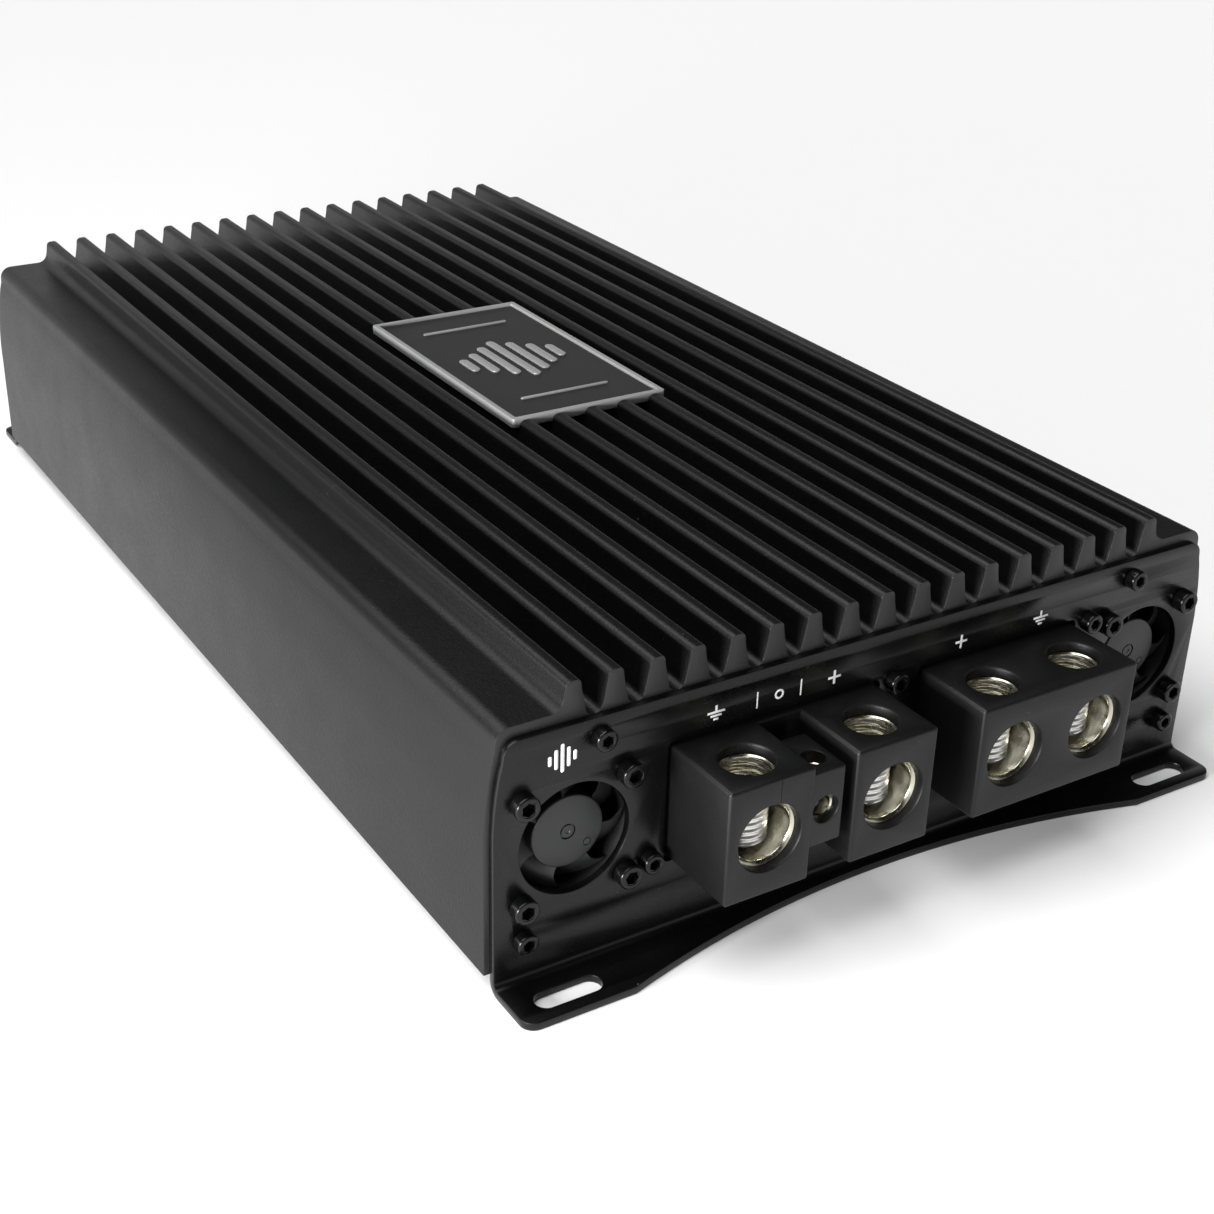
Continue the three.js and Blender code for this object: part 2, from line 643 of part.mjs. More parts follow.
// ---------------------------------------------------------------- fasteners
// A socket head screw with its head against the face at -faceY, its shank running inwards.
function capScrew(size, x, z, faceY, length = size.length) {
  const { head, height, shank, socket } = size;
  const c = 0.3;
  const body = turnedY([
    [0, 0], [head - c, 0], [head, c], [head, height], [shank, height],
    [shank, height + length - 0.4], [shank - 0.4, height + length], [0, height + length],
  ], x, -faceY - height, z, 10);
  const key = prismY(hexagon(x, z, socket), -faceY - height - 1, -faceY - height + SOCKET_DEPTH);
  return cut(body, key);
}

// Headless screw standing on its tip at z, with a hexagon socket in the top.
function clampScrew(x, y, tipZ, radius, length) {
  const c = radius * 0.2;
  const body = turnedZ([
    [0, 0], [radius - c, 0], [radius, c],
    [radius, length - 0.4], [radius - 0.4, length], [0, length],
  ], x, y, tipZ, 14);
  const socket = hexagon(x, y, radius * 0.52);
  return cut(body, prismZ(socket, tipZ + length * 0.55, tipZ + length + 1));
}

// ---------------------------------------------------------------- fans
function fanFrame(side) {
  const x = side * FAN_X;
  const half = FAN_SIZE / 2;
  const outline = roundedRect(x - half, x + half, FAN_Z - half, FAN_Z + half, FAN_CORNER_ROUND);
  outline.holes.push(circleHole(x, FAN_Z, FAN_BORE, 28));
  for (const [a, b] of FAN_CORNERS) {
    outline.holes.push(
      circleHole(x + a * FAN_HOLE_REACH, FAN_Z + b * FAN_HOLE_REACH, M3.hole));
  }
  const back = -END_Y + FAN_DEPTH;
  const strutFront = back - STRUT_DEPTH;
  const stator = HUB_RADIUS - HUB_WALL - ROTOR_GAP;
  const statorFront = -END_Y + HUB_SETBACK + HUB_WALL + ROTOR_GAP;
  const bearing = SHAFT_RADIUS + SHAFT_GAP;
  const motor = turnedY([
    [bearing, 0], [stator, 0], [stator, strutFront - statorFront],
    [HUB_RADIUS, strutFront - statorFront], [HUB_RADIUS, back - statorFront],
    [bearing, back - statorFront], [bearing, 0],
  ], x, statorFront, FAN_Z, 16);
  let body = prismY(outline, -END_Y, back, 3).add(motor);
  for (let i = 0; i < 3; i++) {
    const strut = new THREE.BoxGeometry(FAN_BORE - HUB_RADIUS + 1.6, STRUT_DEPTH, STRUT_WIDTH);
    strut.translate((FAN_BORE + HUB_RADIUS) / 2, 0, 0);
    strut.rotateY(Math.PI / 2 + i * 2 * Math.PI / 3);
    strut.translate(x, (back + strutFront) / 2, FAN_Z);
    body = body.add(solid(strut));
  }
  return body;
}

function fanRotor(side) {
  const x = side * FAN_X;
  const front = -END_Y + HUB_SETBACK;
  const cup = HUB_RADIUS - HUB_WALL;
  const shaftEnd = FAN_DEPTH - HUB_SETBACK - 0.8;
  let body = turnedY([
    [0, 0], [HUB_RADIUS - 0.4, 0], [HUB_RADIUS, 0.4], [HUB_RADIUS, HUB_DEPTH], [cup, HUB_DEPTH],
    [cup, HUB_WALL], [SHAFT_RADIUS, HUB_WALL], [SHAFT_RADIUS, shaftEnd], [0, shaftEnd],
  ], x, front, FAN_Z, 20);
  const section = new THREE.Shape();
  section.moveTo(-2.6, 0.6);
  section.lineTo(-2.6 + BLADE_THICKNESS, 0.6);
  section.lineTo(1.2 + BLADE_THICKNESS, 3.4);
  section.lineTo(3 + BLADE_THICKNESS, 5.9);
  section.lineTo(3, 5.9);
  section.lineTo(0.6, 3.7);
  const root = cup + 0.5;
  for (let i = 0; i < BLADE_COUNT; i++) {
    const depth = BLADE_TIP - root;
    const blade = new THREE.ExtrudeGeometry(section, { depth, bevelEnabled: false });
    blade.translate(0, 0, root);
    blade.rotateY(side * 0.2 + i * 2 * Math.PI / BLADE_COUNT);
    blade.translate(x, front, FAN_Z);
    body = body.add(solid(blade));
  }
  return body;
}

// ---------------------------------------------------------------- terminal housings
// Cavity for one insert, with the cable mouth in front and the key hole on top.
function insertCavity(x) {
  const half = INSERT_WIDTH / 2 + INSERT_CLEARANCE;
  const chamber = box(x - half, x + half, -INSERT_FACE, -END_Y + HOUSING_FLANGE + 1,
    INSERT_BOTTOM, INSERT_TOP + INSERT_CLEARANCE);
  const mouth = rodY(x, CABLE_Z, CABLE_MOUTH, -BLOCK_FACE - 1, -INSERT_FACE + 0.5, 24);
  const key = rodZ(x, -CLAMP_Y, KEY_HOLE, INSERT_TOP - 0.5, BLOCK_TOP + 1, 20);
  return join(chamber, mouth, key);
}

function cube(left, right) {
  const outline = roundedRect(left, right, BLOCK_BOTTOM, BLOCK_TOP, BLOCK_CORNER);
  return prismY(outline, -BLOCK_FACE, -END_Y + 0.5, 3);
}

// Rim of a housing that stays behind the panel.
function innerRim(left, right) {
  return box(left - FLANGE_SIDE_LIP, right + FLANGE_SIDE_LIP, -END_Y, -END_Y + HOUSING_FLANGE,
    BLOCK_BOTTOM - FLANGE_END_LIP, BLOCK_TOP + FLANGE_END_LIP);
}

// Round ear about a fixing screw, reaching from the housing edge at edgeX.
function ear([x, z], edgeX) {
  const back = -END_Y + HOUSING_FLANGE;
  const [near, far] = [Math.min(x, edgeX), Math.max(x, edgeX)];
  const neck = box(near, far, -END_Y, back, z - EAR_RADIUS, z + EAR_RADIUS);
  return rodY(x, z, EAR_RADIUS, -END_Y, back, 12).add(neck);
}

function earHole([x, z]) {
  return rodY(x, z, M25.hole, -END_Y - 1, -END_Y + HOUSING_FLANGE + 1, 10);
}

function leftHousing() {
  const left = GROUND_X - CUBE_WIDTH / 2;
  const right = PLUS_X + CUBE_WIDTH / 2;
  const innerBack = -END_Y + HOUSING_FLANGE;
  const remoteBack = -PANEL_FACE - REMOTE_BACK;
  const { lower_left: lowEar, upper_left: highEar } = BLOCK_SCREWS;
  const remoteOutline = roundedRect(REMOTE_LEFT - 4, REMOTE_RIGHT, REMOTE_BOTTOM, REMOTE_TOP, 1.1);
  const body = join(
    cube(left, left + CUBE_WIDTH),
    cube(right - CUBE_WIDTH, right),
    innerRim(left, right),
    box(left + 1, right - 1, -PANEL_FACE - WEB_PROUD, innerBack, BLOCK_BOTTOM, BLOCK_TOP),
    prismY(remoteOutline, -BLOCK_FACE + REMOTE_FACE_STEP, remoteBack, 3),
    box(REMOTE_LEFT - 1, REMOTE_RIGHT - 1, remoteBack - 1, -END_Y, REMOTE_BOTTOM + 1, STEP_TOP),
    ear(lowEar, left),
    ear(highEar, right));
  const remoteHalf = REMOTE_INSERT_HALF + INSERT_CLEARANCE;
  const chamber = box(REMOTE_X - remoteHalf, REMOTE_X + remoteHalf, -REMOTE_FACE,
    -REMOTE_INSERT_BACK, REMOTE_INSERT_BOTTOM, REMOTE_INSERT_TOP + INSERT_CLEARANCE);
  const ductHalf = REMOTE_TAIL_WIDTH / 2 + INSERT_CLEARANCE;
  const duct = box(REMOTE_X - ductHalf, REMOTE_X + ductHalf, -REMOTE_INSERT_BACK - 1,
    innerBack + 1, REMOTE_INSERT_BOTTOM, REMOTE_INSERT_BOTTOM + REMOTE_TAIL_THICKNESS + 0.4);
  return cut(body,
    insertCavity(GROUND_X),
    insertCavity(PLUS_X),
    chamber,
    duct,
    rodY(REMOTE_X, REMOTE_Z, REMOTE_MOUTH, -BLOCK_FACE - 1, -REMOTE_FACE + 0.5, 20),
    rodZ(REMOTE_X, -REMOTE_SCREW_Y, REMOTE_KEY, REMOTE_INSERT_TOP - 0.5, REMOTE_TOP + 1, 20),
    earHole(lowEar),
    earHole(highEar));
}

// Housing for two cable clamps side by side, held by two screws at opposite corners.
function pairHousing(x, lowEar, highEar) {
  const left = x - PAIR_WIDTH / 2;
  const right = x + PAIR_WIDTH / 2;
  const body = join(cube(left, right), innerRim(left, right),
    ear(lowEar, left), ear(highEar, right));
  return cut(body,
    insertCavity(x - PAIR_SPACING / 2),
    insertCavity(x + PAIR_SPACING / 2),
    earHole(lowEar),
    earHole(highEar));
}

// Plated block with the cable bore, the tapped hole above it and a tail down to the board.
function cableInsert(x) {
  const half = INSERT_WIDTH / 2;
  const tailHalf = TAIL_WIDTH / 2;
  const tailBack = -END_Y + TAIL_REACH;
  const block = box(x - half, x + half, -INSERT_FACE, -END_Y, INSERT_BOTTOM, INSERT_TOP);
  const shelf = box(x - tailHalf, x + tailHalf, -END_Y - 1, tailBack,
    INSERT_BOTTOM, INSERT_BOTTOM + TAIL_THICKNESS);
  const leg = box(x - tailHalf, x + tailHalf, tailBack - TAIL_THICKNESS, tailBack,
    BOARD_TOP, INSERT_BOTTOM + 1);
  const bore = turnedY([
    [0, -1], [CABLE_BORE + BORE_CHAMFER, -1], [CABLE_BORE + BORE_CHAMFER, 0],
    [CABLE_BORE, BORE_CHAMFER], [CABLE_BORE, BORE_DEPTH], [0, BORE_DEPTH + 2],
  ], x, -INSERT_FACE, CABLE_Z, 24);
  const tapped = rodZ(x, -CLAMP_Y, CLAMP_THREAD, CABLE_Z, INSERT_TOP + 1, 20);
  return cut(join(block, shelf, leg), bore, tapped);
}

function remoteInsert() {
  const x = REMOTE_X;
  const half = REMOTE_INSERT_HALF;
  const tailHalf = REMOTE_TAIL_WIDTH / 2;
  const tailBack = -END_Y + TAIL_REACH;
  const bottom = REMOTE_INSERT_BOTTOM;
  const block = box(x - half, x + half, -REMOTE_FACE, -REMOTE_INSERT_BACK,
    bottom, REMOTE_INSERT_TOP);
  const shelf = box(x - tailHalf, x + tailHalf, -REMOTE_INSERT_BACK - 1, tailBack,
    bottom, bottom + REMOTE_TAIL_THICKNESS);
  const leg = box(x - tailHalf, x + tailHalf, tailBack - REMOTE_TAIL_THICKNESS, tailBack,
    BOARD_TOP, bottom + 1);
  const bore = turnedY([
    [0, -1], [REMOTE_BORE + 0.3, -1], [REMOTE_BORE + 0.3, 0], [REMOTE_BORE, 0.3],
    [REMOTE_BORE, REMOTE_BORE_DEPTH], [0, REMOTE_BORE_DEPTH + 1],
  ], x, -REMOTE_FACE, REMOTE_Z, 20);
  const tapped = rodZ(x, -REMOTE_SCREW_Y, REMOTE_THREAD, REMOTE_Z, REMOTE_INSERT_TOP + 1, 20);
  return cut(join(block, shelf, leg), bore, tapped);
}

// ---------------------------------------------------------------- rear fittings
// The two speaker housing screws, seen from behind.
const SPEAKER_SCREWS = [
  [-SPEAKER_X - PAIR_WIDTH / 2 - EAR_LOW_REACH, EAR_LOW_Z],
  [-SPEAKER_X + PAIR_WIDTH / 2 + EAR_HIGH_REACH, EAR_HIGH_Z],
];

// Two signal jacks on one moulded base that stands on the board.
function rcaJacks() {
  const front = PANEL_FACE + RCA_PROUD;
  const half = RCA_SPACING / 2 + RCA_BODY_MARGIN;
  let body = box(RCA_X - half, RCA_X + half, END_Y - RCA_BODY_DEPTH, END_Y,
    BOARD_TOP, RCA_Z + RCA_BODY_MARGIN);
  for (const side of [-1, 1]) {
    const x = RCA_X + side * RCA_SPACING / 2;
    body = body.add(rodY(x, RCA_Z, RCA_BARREL, END_Y - 1, front, 24));
    body = cut(body, rodY(x, RCA_Z, RCA_PIN_HOLE, END_Y - 4, front + 1, 16));
  }
  return body;
}

// Socket of the wired bass control.
function bassSocket() {
  const left = PORT_X - PORT_HALF_WIDTH;
  const right = PORT_X + PORT_HALF_WIDTH;
  const low = PORT_Z - PORT_HALF_HEIGHT;
  const high = PORT_Z + PORT_HALF_HEIGHT;
  const w = PORT_WALL;
  const body = box(left, right, END_Y - PORT_DEPTH, END_Y, BOARD_TOP, high);
  const nose = box(left, right, END_Y - 1, PANEL_FACE + 0.6, low, high);
  const mouth = box(left + w, right - w, END_Y - PORT_DEPTH / 2, PANEL_FACE + 2, low + w, high - w);
  return cut(join(body, nose), mouth);
}

function statusLamp() {
  const half = 0.75 * LAMP_RADIUS;
  const stem = box(LAMP_X - half, LAMP_X + half, END_Y - 8, END_Y - 5, BOARD_TOP, LAMP_Z);
  return rodY(LAMP_X, LAMP_Z, LAMP_RADIUS, END_Y - 6, PANEL_FACE + 0.5, 16).add(stem);
}

// Upright board with the potentiometers, standing on the main board.
function controlBoard() {
  const potFace = END_Y - POT_SETBACK;
  const back = END_Y - CONTROL_SETBACK;
  const last = KNOB_X + (KNOB_NAMES.length - 1) * KNOB_PITCH;
  let body = box(KNOB_X - 7, last + 3, back, back + BOARD_THICKNESS, BOARD_TOP, KNOB_Z + 7);
  for (let x = KNOB_X; x <= last; x += KNOB_PITCH) {
    body = body.add(box(x - POT_HALF, x + POT_HALF, back + 1, potFace, KNOB_Z - 5, KNOB_Z + 5));
    const bearing = rodY(x, KNOB_Z, KNOB_SHAFT + KNOB_SHAFT_GAP, potFace - 7, potFace + 1, 16);
    body = cut(body, bearing);
  }
  return body;
}

function knob(x) {
  const start = END_Y - POT_SETBACK - 6;
  const shoulder = END_Y - 2.4 - start;
  const end = PANEL_FACE + KNOB_PROUD - start;
  const body = turnedY([
    [0, 0], [KNOB_SHAFT, 0], [KNOB_SHAFT, shoulder], [KNOB_RADIUS, shoulder],
    [KNOB_RADIUS, end - 0.5], [KNOB_RADIUS - 0.5, end], [0, end],
  ], x, start, KNOB_Z, 14);
  const front = PANEL_FACE + KNOB_PROUD;
  return cut(body, box(x - 0.5, x + 0.5, front - 1, front + 1, KNOB_Z - 2.4, KNOB_Z + 4));
}

// ---------------------------------------------------------------- inside
function toroid(side) {
  const r = TOROID_ROUND;
  const h = TOROID_HEIGHT;
  return turnedZ([
    [TOROID_HOLE + r, 0], [TOROID_RADIUS - r, 0], [TOROID_RADIUS, r], [TOROID_RADIUS, h - r],
    [TOROID_RADIUS - r, h], [TOROID_HOLE + r, h], [TOROID_HOLE, h - r],
    [TOROID_HOLE, r], [TOROID_HOLE + r, 0],
  ], side * TOROID_X, TOROID_Y_SHARE * SHELL_LENGTH, BOARD_TOP, 24);
}

// Bar that presses a row of transistors up against the shell.
function transistorBar(side) {
  const x = side * (HIGH_SCREW_X - HIGH_BOSS_HALF - BAR_SIDE_GAP - BAR_WIDTH / 2);
  const end = END_Y - BAR_END_GAP;
  let bar = box(x - BAR_WIDTH / 2, x + BAR_WIDTH / 2, -end, end, CEILING - BAR_HEIGHT, CEILING);
  for (let i = 0; i < TRANSISTOR_COUNT; i++) {
    const y = -end + (i + 0.5) * 2 * end / TRANSISTOR_COUNT;
    bar = bar.add(box(x - TRANSISTOR_HALF, x + TRANSISTOR_HALF,
      y - TRANSISTOR_WIDTH / 2, y + TRANSISTOR_WIDTH / 2, CEILING - 5, CEILING - 0.5));
  }
  return bar;
}

function capacitorBank() {
  const [pitchX, pitchY] = CAN_PITCH;
  const middle = BANK_Y_SHARE * SHELL_LENGTH;
  const halfX = pitchX + CAN_RADIUS + BANK_MARGIN;
  const halfY = pitchY / 2 + CAN_RADIUS + BANK_MARGIN;
  let bank = box(-halfX, halfX, middle - halfY, middle + halfY, BOARD_TOP, BOARD_TOP + BANK_BASE);
  for (const column of [-1, 0, 1]) {
    for (const row of [-0.5, 0.5]) {
      bank = bank.add(rodZ(column * pitchX, middle + row * pitchY, CAN_RADIUS,
        BOARD_TOP + 1, BOARD_TOP + CAN_HEIGHT, 14));
    }
  }
  return bank;
}

// ---------------------------------------------------------------- assembly
piece('heatsink_shell', heatsinkShell(), POWDER);
piece('front_end_panel', frontEndPanel(), SHEET_BLACK);
piece('rear_end_panel', rearEndPanel(), SHEET_BLACK);

const coverHalf = INNER_HALF - COVER_CLEARANCE;
const coverEnd = END_Y - COVER_CLEARANCE;
piece('bottom_cover',
  box(-coverHalf, coverHalf, -coverEnd, coverEnd, SHELL_BOTTOM, COVER_TOP), SHEET_BLACK);

const badgeX = BADGE_WIDTH / 2;
const badgeY = BADGE_LENGTH / 2;
const fieldX = badgeX - BADGE_BORDER;
const fieldY = badgeY - BADGE_BORDER;
piece('badge_plate', cut(
  prismZ(roundedRect(-badgeX, badgeX, -badgeY, badgeY, BADGE_CORNER), BADGE_BASE, BADGE_TOP, 4),
  box(-fieldX, fieldX, -fieldY, fieldY, BADGE_TOP - BADGE_FIELD_DROP, BADGE_TOP + 1)), SILVER);

for (const [side, label] of [[-1, 'left'], [1, 'right']]) {
  piece('fan_frame_' + label, fanFrame(side), FAN_FRAME);
  piece('fan_rotor_' + label, fanRotor(side), FAN_PLASTIC);
  FAN_CORNERS.forEach(([a, b], i) => {
    const x = side * FAN_X + a * FAN_HOLE_REACH;
    const z = FAN_Z + b * FAN_HOLE_REACH;
    piece('fan_screw_' + label + '_' + (i + 1), capScrew(M3, x, z, PANEL_FACE), OXIDE);
  });
  piece('front_panel_screw_upper_' + label,
    capScrew(M25, side * HIGH_SCREW_X, HIGH_SCREW_Z, PANEL_FACE), OXIDE);
  piece('front_panel_screw_lower_' + label,
    capScrew(M25, side * LOW_SCREW_X, LOW_SCREW_Z, PANEL_FACE), OXIDE);
  piece('rear_panel_screw_upper_' + label,
    toRear(capScrew(M25, -side * HIGH_SCREW_X, HIGH_SCREW_Z, PANEL_FACE)), OXIDE);
  piece('rear_panel_screw_lower_' + label,
    toRear(capScrew(M25, -side * LOW_SCREW_X, LOW_SCREW_Z, PANEL_FACE)), OXIDE);
  piece('toroid_transformer_' + label, toroid(side), WINDING);
  piece('transistor_bar_' + label, transistorBar(side), ALUMINIUM);
}

for (const [label, [x, z]] of Object.entries(BLOCK_SCREWS)) {
  piece('terminal_screw_' + label, capScrew(M25, x, z, PANEL_FACE, SHORT_LENGTH), OXIDE);
}

piece('power_housing_left', leftHousing(), MOULDED);
piece('power_housing_right',
  pairHousing(PAIR_X, BLOCK_SCREWS.lower_right, BLOCK_SCREWS.upper_right), MOULDED);

const FRONT_CLAMPS = {
  ground_left: GROUND_X,
  plus_left: PLUS_X,
  plus_right: PAIR_X - PAIR_SPACING / 2,
  ground_right: PAIR_X + PAIR_SPACING / 2,
};
for (const [label, x] of Object.entries(FRONT_CLAMPS)) {
  piece('insert_' + label, cableInsert(x), PLATED);
  piece('clamp_screw_' + label,
    clampScrew(x, -CLAMP_Y, CLAMP_TIP_Z, CLAMP_RADIUS, CLAMP_LENGTH), PLATED);
}
piece('insert_remote', remoteInsert(), PLATED);
piece('clamp_screw_remote', clampScrew(REMOTE_X, -REMOTE_SCREW_Y, REMOTE_TIP_Z,
  REMOTE_THREAD - CLAMP_GAP, REMOTE_LENGTH), PLATED);

// Speaker outputs: the same two-clamp housing, turned to the rear.
piece('speaker_housing', toRear(pairHousing(-SPEAKER_X, ...SPEAKER_SCREWS)), MOULDED);
for (const [label, side] of [['plus', 1], ['minus', -1]]) {
  const x = SPEAKER_X + side * PAIR_SPACING / 2;
  piece('insert_speaker_' + label, toRear(cableInsert(-x)), PLATED);
  piece('clamp_screw_speaker_' + label,
    toRear(clampScrew(-x, -CLAMP_Y, CLAMP_TIP_Z, CLAMP_RADIUS, CLAMP_LENGTH)), PLATED);
}

piece('rca_jack_block', rcaJacks(), NICKEL);
piece('bass_control_socket', bassSocket(), MOULDED);
piece('status_lamp', statusLamp(), CLEAR);
piece('control_board', controlBoard(), BOARD);
KNOB_NAMES.forEach((name, i) => {
  piece('knob_' + name, knob(KNOB_X + i * KNOB_PITCH), MOULDED);
});

const boardHalf = INNER_HALF - LOW_BOSS_WIDTH - BOARD_SIDE_GAP;
const boardEnd = END_Y - BOARD_END_GAP;
piece('main_circuit_board',
  box(-boardHalf, boardHalf, -boardEnd, boardEnd, RAIL_TOP, BOARD_TOP), BOARD);
piece('capacitor_bank', capacitorBank(), CAN);

export default amplifier;
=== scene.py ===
import math

import bmesh
import bpy
from mathutils import Matrix, Vector


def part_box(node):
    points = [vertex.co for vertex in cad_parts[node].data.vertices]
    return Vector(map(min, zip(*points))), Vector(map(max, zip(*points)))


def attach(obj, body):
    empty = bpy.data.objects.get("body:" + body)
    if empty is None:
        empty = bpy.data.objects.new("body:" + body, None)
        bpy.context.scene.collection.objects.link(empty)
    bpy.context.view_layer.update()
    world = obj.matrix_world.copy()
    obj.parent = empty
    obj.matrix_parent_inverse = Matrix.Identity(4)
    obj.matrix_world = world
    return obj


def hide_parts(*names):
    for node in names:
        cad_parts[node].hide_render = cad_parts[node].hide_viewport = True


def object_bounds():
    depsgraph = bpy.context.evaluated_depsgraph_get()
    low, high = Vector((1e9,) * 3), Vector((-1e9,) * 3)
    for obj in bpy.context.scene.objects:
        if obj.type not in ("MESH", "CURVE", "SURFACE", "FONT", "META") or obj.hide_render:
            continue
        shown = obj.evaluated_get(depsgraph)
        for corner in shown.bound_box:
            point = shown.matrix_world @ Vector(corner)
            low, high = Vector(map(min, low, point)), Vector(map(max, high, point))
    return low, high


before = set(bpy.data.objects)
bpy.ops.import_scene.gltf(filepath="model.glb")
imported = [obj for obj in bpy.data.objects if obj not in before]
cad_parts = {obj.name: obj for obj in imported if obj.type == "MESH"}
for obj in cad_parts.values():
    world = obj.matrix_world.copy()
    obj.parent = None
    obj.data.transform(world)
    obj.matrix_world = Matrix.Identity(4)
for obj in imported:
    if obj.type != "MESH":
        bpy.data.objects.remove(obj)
cad_bounds = [list(corner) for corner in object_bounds()]

# Lengths are in millimetres in the frame of the CAD, except in the last section (metres).
MM = 0.001
TURN = 2 * math.pi
SCENE = bpy.context.scene
SCENE.view_settings.view_transform = "Standard"  # keeps the pale floor white
ROOT = "amplifier"


# ---- materials
DUST_SPACING = 2.2
DUST_PATCH = 9
DUST_RADIUS = 0.12
DUST_COLOR = (0.35, 0.35, 0.34, 1)
BROAD_PATCH = 14
FINE_SHARE = 0.65


def add(tree, kind, **values):
    """New shader node with its unlinked inputs set; a key n0, n1 ... is an input's number."""
    node = tree.nodes.new("ShaderNode" + kind)
    for key, value in values.items():
        socket = int(key[1:]) if key[0] == "n" and key[1:].isdigit() else key.replace("_", " ")
        node.inputs[socket].default_value = value
    return node


def operate(tree, operation, first, second=None, **values):
    """Math node of one operation; its first input and maybe its second are links."""
    node = add(tree, "Math", **values)
    node.operation = operation
    tree.links.new(first, node.inputs[0])
    if second is not None:
        tree.links.new(second, node.inputs[1])
    return node


def dusted(tree, position, color, amount):
    """Colour with sparse pale specks of dust over it."""
    cells = add(tree, "TexVoronoi", Scale=1.0 / (DUST_SPACING * MM))
    tree.links.new(position, cells.inputs["Vector"])
    patchy = add(tree, "TexNoise", Scale=1.0 / (DUST_PATCH * MM))
    tree.links.new(position, patchy.inputs["Vector"])
    radius = add(tree, "MapRange", From_Min=0.52, From_Max=0.8, To_Max=DUST_RADIUS)
    tree.links.new(patchy.outputs["Fac"], radius.inputs["Value"])
    inside = operate(tree, "LESS_THAN", cells.outputs["Distance"], radius.outputs["Result"])
    share = operate(tree, "MULTIPLY", inside.outputs[0], n1=amount)
    speck = tree.nodes.new("ShaderNodeMix")
    speck.data_type = "RGBA"
    speck.inputs["B"].default_value = DUST_COLOR
    tree.links.new(color, speck.inputs["A"])
    tree.links.new(share.outputs[0], speck.inputs["Factor"])
    return speck.outputs["Result"]


def make_material(name, color, rough, grain, grain_size, grain_depth=0.02, metal=0.0,
                  mottling=0.15, rough_spread=0.06, streaks=None, coat=0.0, specular=0.5,
                  dust=0.0):
    """A surface with fine grain, patchy roughness and slight colour changes.

    Sizes are in millimetres; streaks turns the grain and stretches it along x, y and z."""
    mat = bpy.data.materials.new(name)
    mat.use_nodes = True
    tree = mat.node_tree
    shader = tree.nodes["Principled BSDF"]
    shader.inputs["Metallic"].default_value = metal
    shader.inputs["Coat Weight"].default_value = coat
    shader.inputs["Coat Roughness"].default_value = 0.2
    shader.inputs["Specular IOR Level"].default_value = specular
    position = tree.nodes.new("ShaderNodeTexCoord").outputs["Object"]
    source = position
    if streaks:
        stretch = add(tree, "Mapping", Rotation=streaks["turn"], Scale=streaks["scale"])
        tree.links.new(source, stretch.inputs["Vector"])
        source = stretch.outputs["Vector"]
    fine = add(tree, "TexNoise", Scale=1.0 / (grain_size * MM), Detail=3.0, Roughness=0.6)
    tree.links.new(source, fine.inputs["Vector"])
    broad = add(tree, "TexNoise", Scale=1.0 / (BROAD_PATCH * MM), Detail=4.0)
    tree.links.new(position, broad.inputs["Vector"])
    share = operate(tree, "MULTIPLY", broad.outputs["Fac"], n1=1 - FINE_SHARE)
    both = operate(tree, "MULTIPLY_ADD", fine.outputs["Fac"], n1=FINE_SHARE)
    tree.links.new(share.outputs[0], both.inputs[2])
    tone = tree.nodes.new("ShaderNodeMix")
    tone.data_type = "RGBA"
    tone.inputs["A"].default_value = (*(c * (1 - mottling) for c in color), 1)
    tone.inputs["B"].default_value = (*(c * (1 + mottling) for c in color), 1)
    tree.links.new(both.outputs[0], tone.inputs["Factor"])
    finish = tone.outputs["Result"]
    if dust:
        finish = dusted(tree, position, finish, dust)
    tree.links.new(finish, shader.inputs["Base Color"])
    spread = add(tree, "MapRange", From_Min=0.3, From_Max=0.7,
                 To_Min=max(0.02, rough - rough_spread), To_Max=min(1.0, rough + rough_spread))
    tree.links.new(both.outputs[0], spread.inputs["Value"])
    tree.links.new(spread.outputs["Result"], shader.inputs["Roughness"])
    bump = add(tree, "Bump", Strength=grain, Distance=grain_depth * MM)
    tree.links.new(fine.outputs["Fac"], bump.inputs["Height"])
    tree.links.new(bump.outputs["Normal"], shader.inputs["Normal"])
    return mat


def grey(level, tint=(1.0, 1.0, 1.0)):
    return [level * t for t in tint]


def lengthwise(x, y, z, turn=0.0):
    """Grain drawn out along the axes whose scale is small."""
    return {"turn": (0, turn, 0), "scale": (x, y, z)}


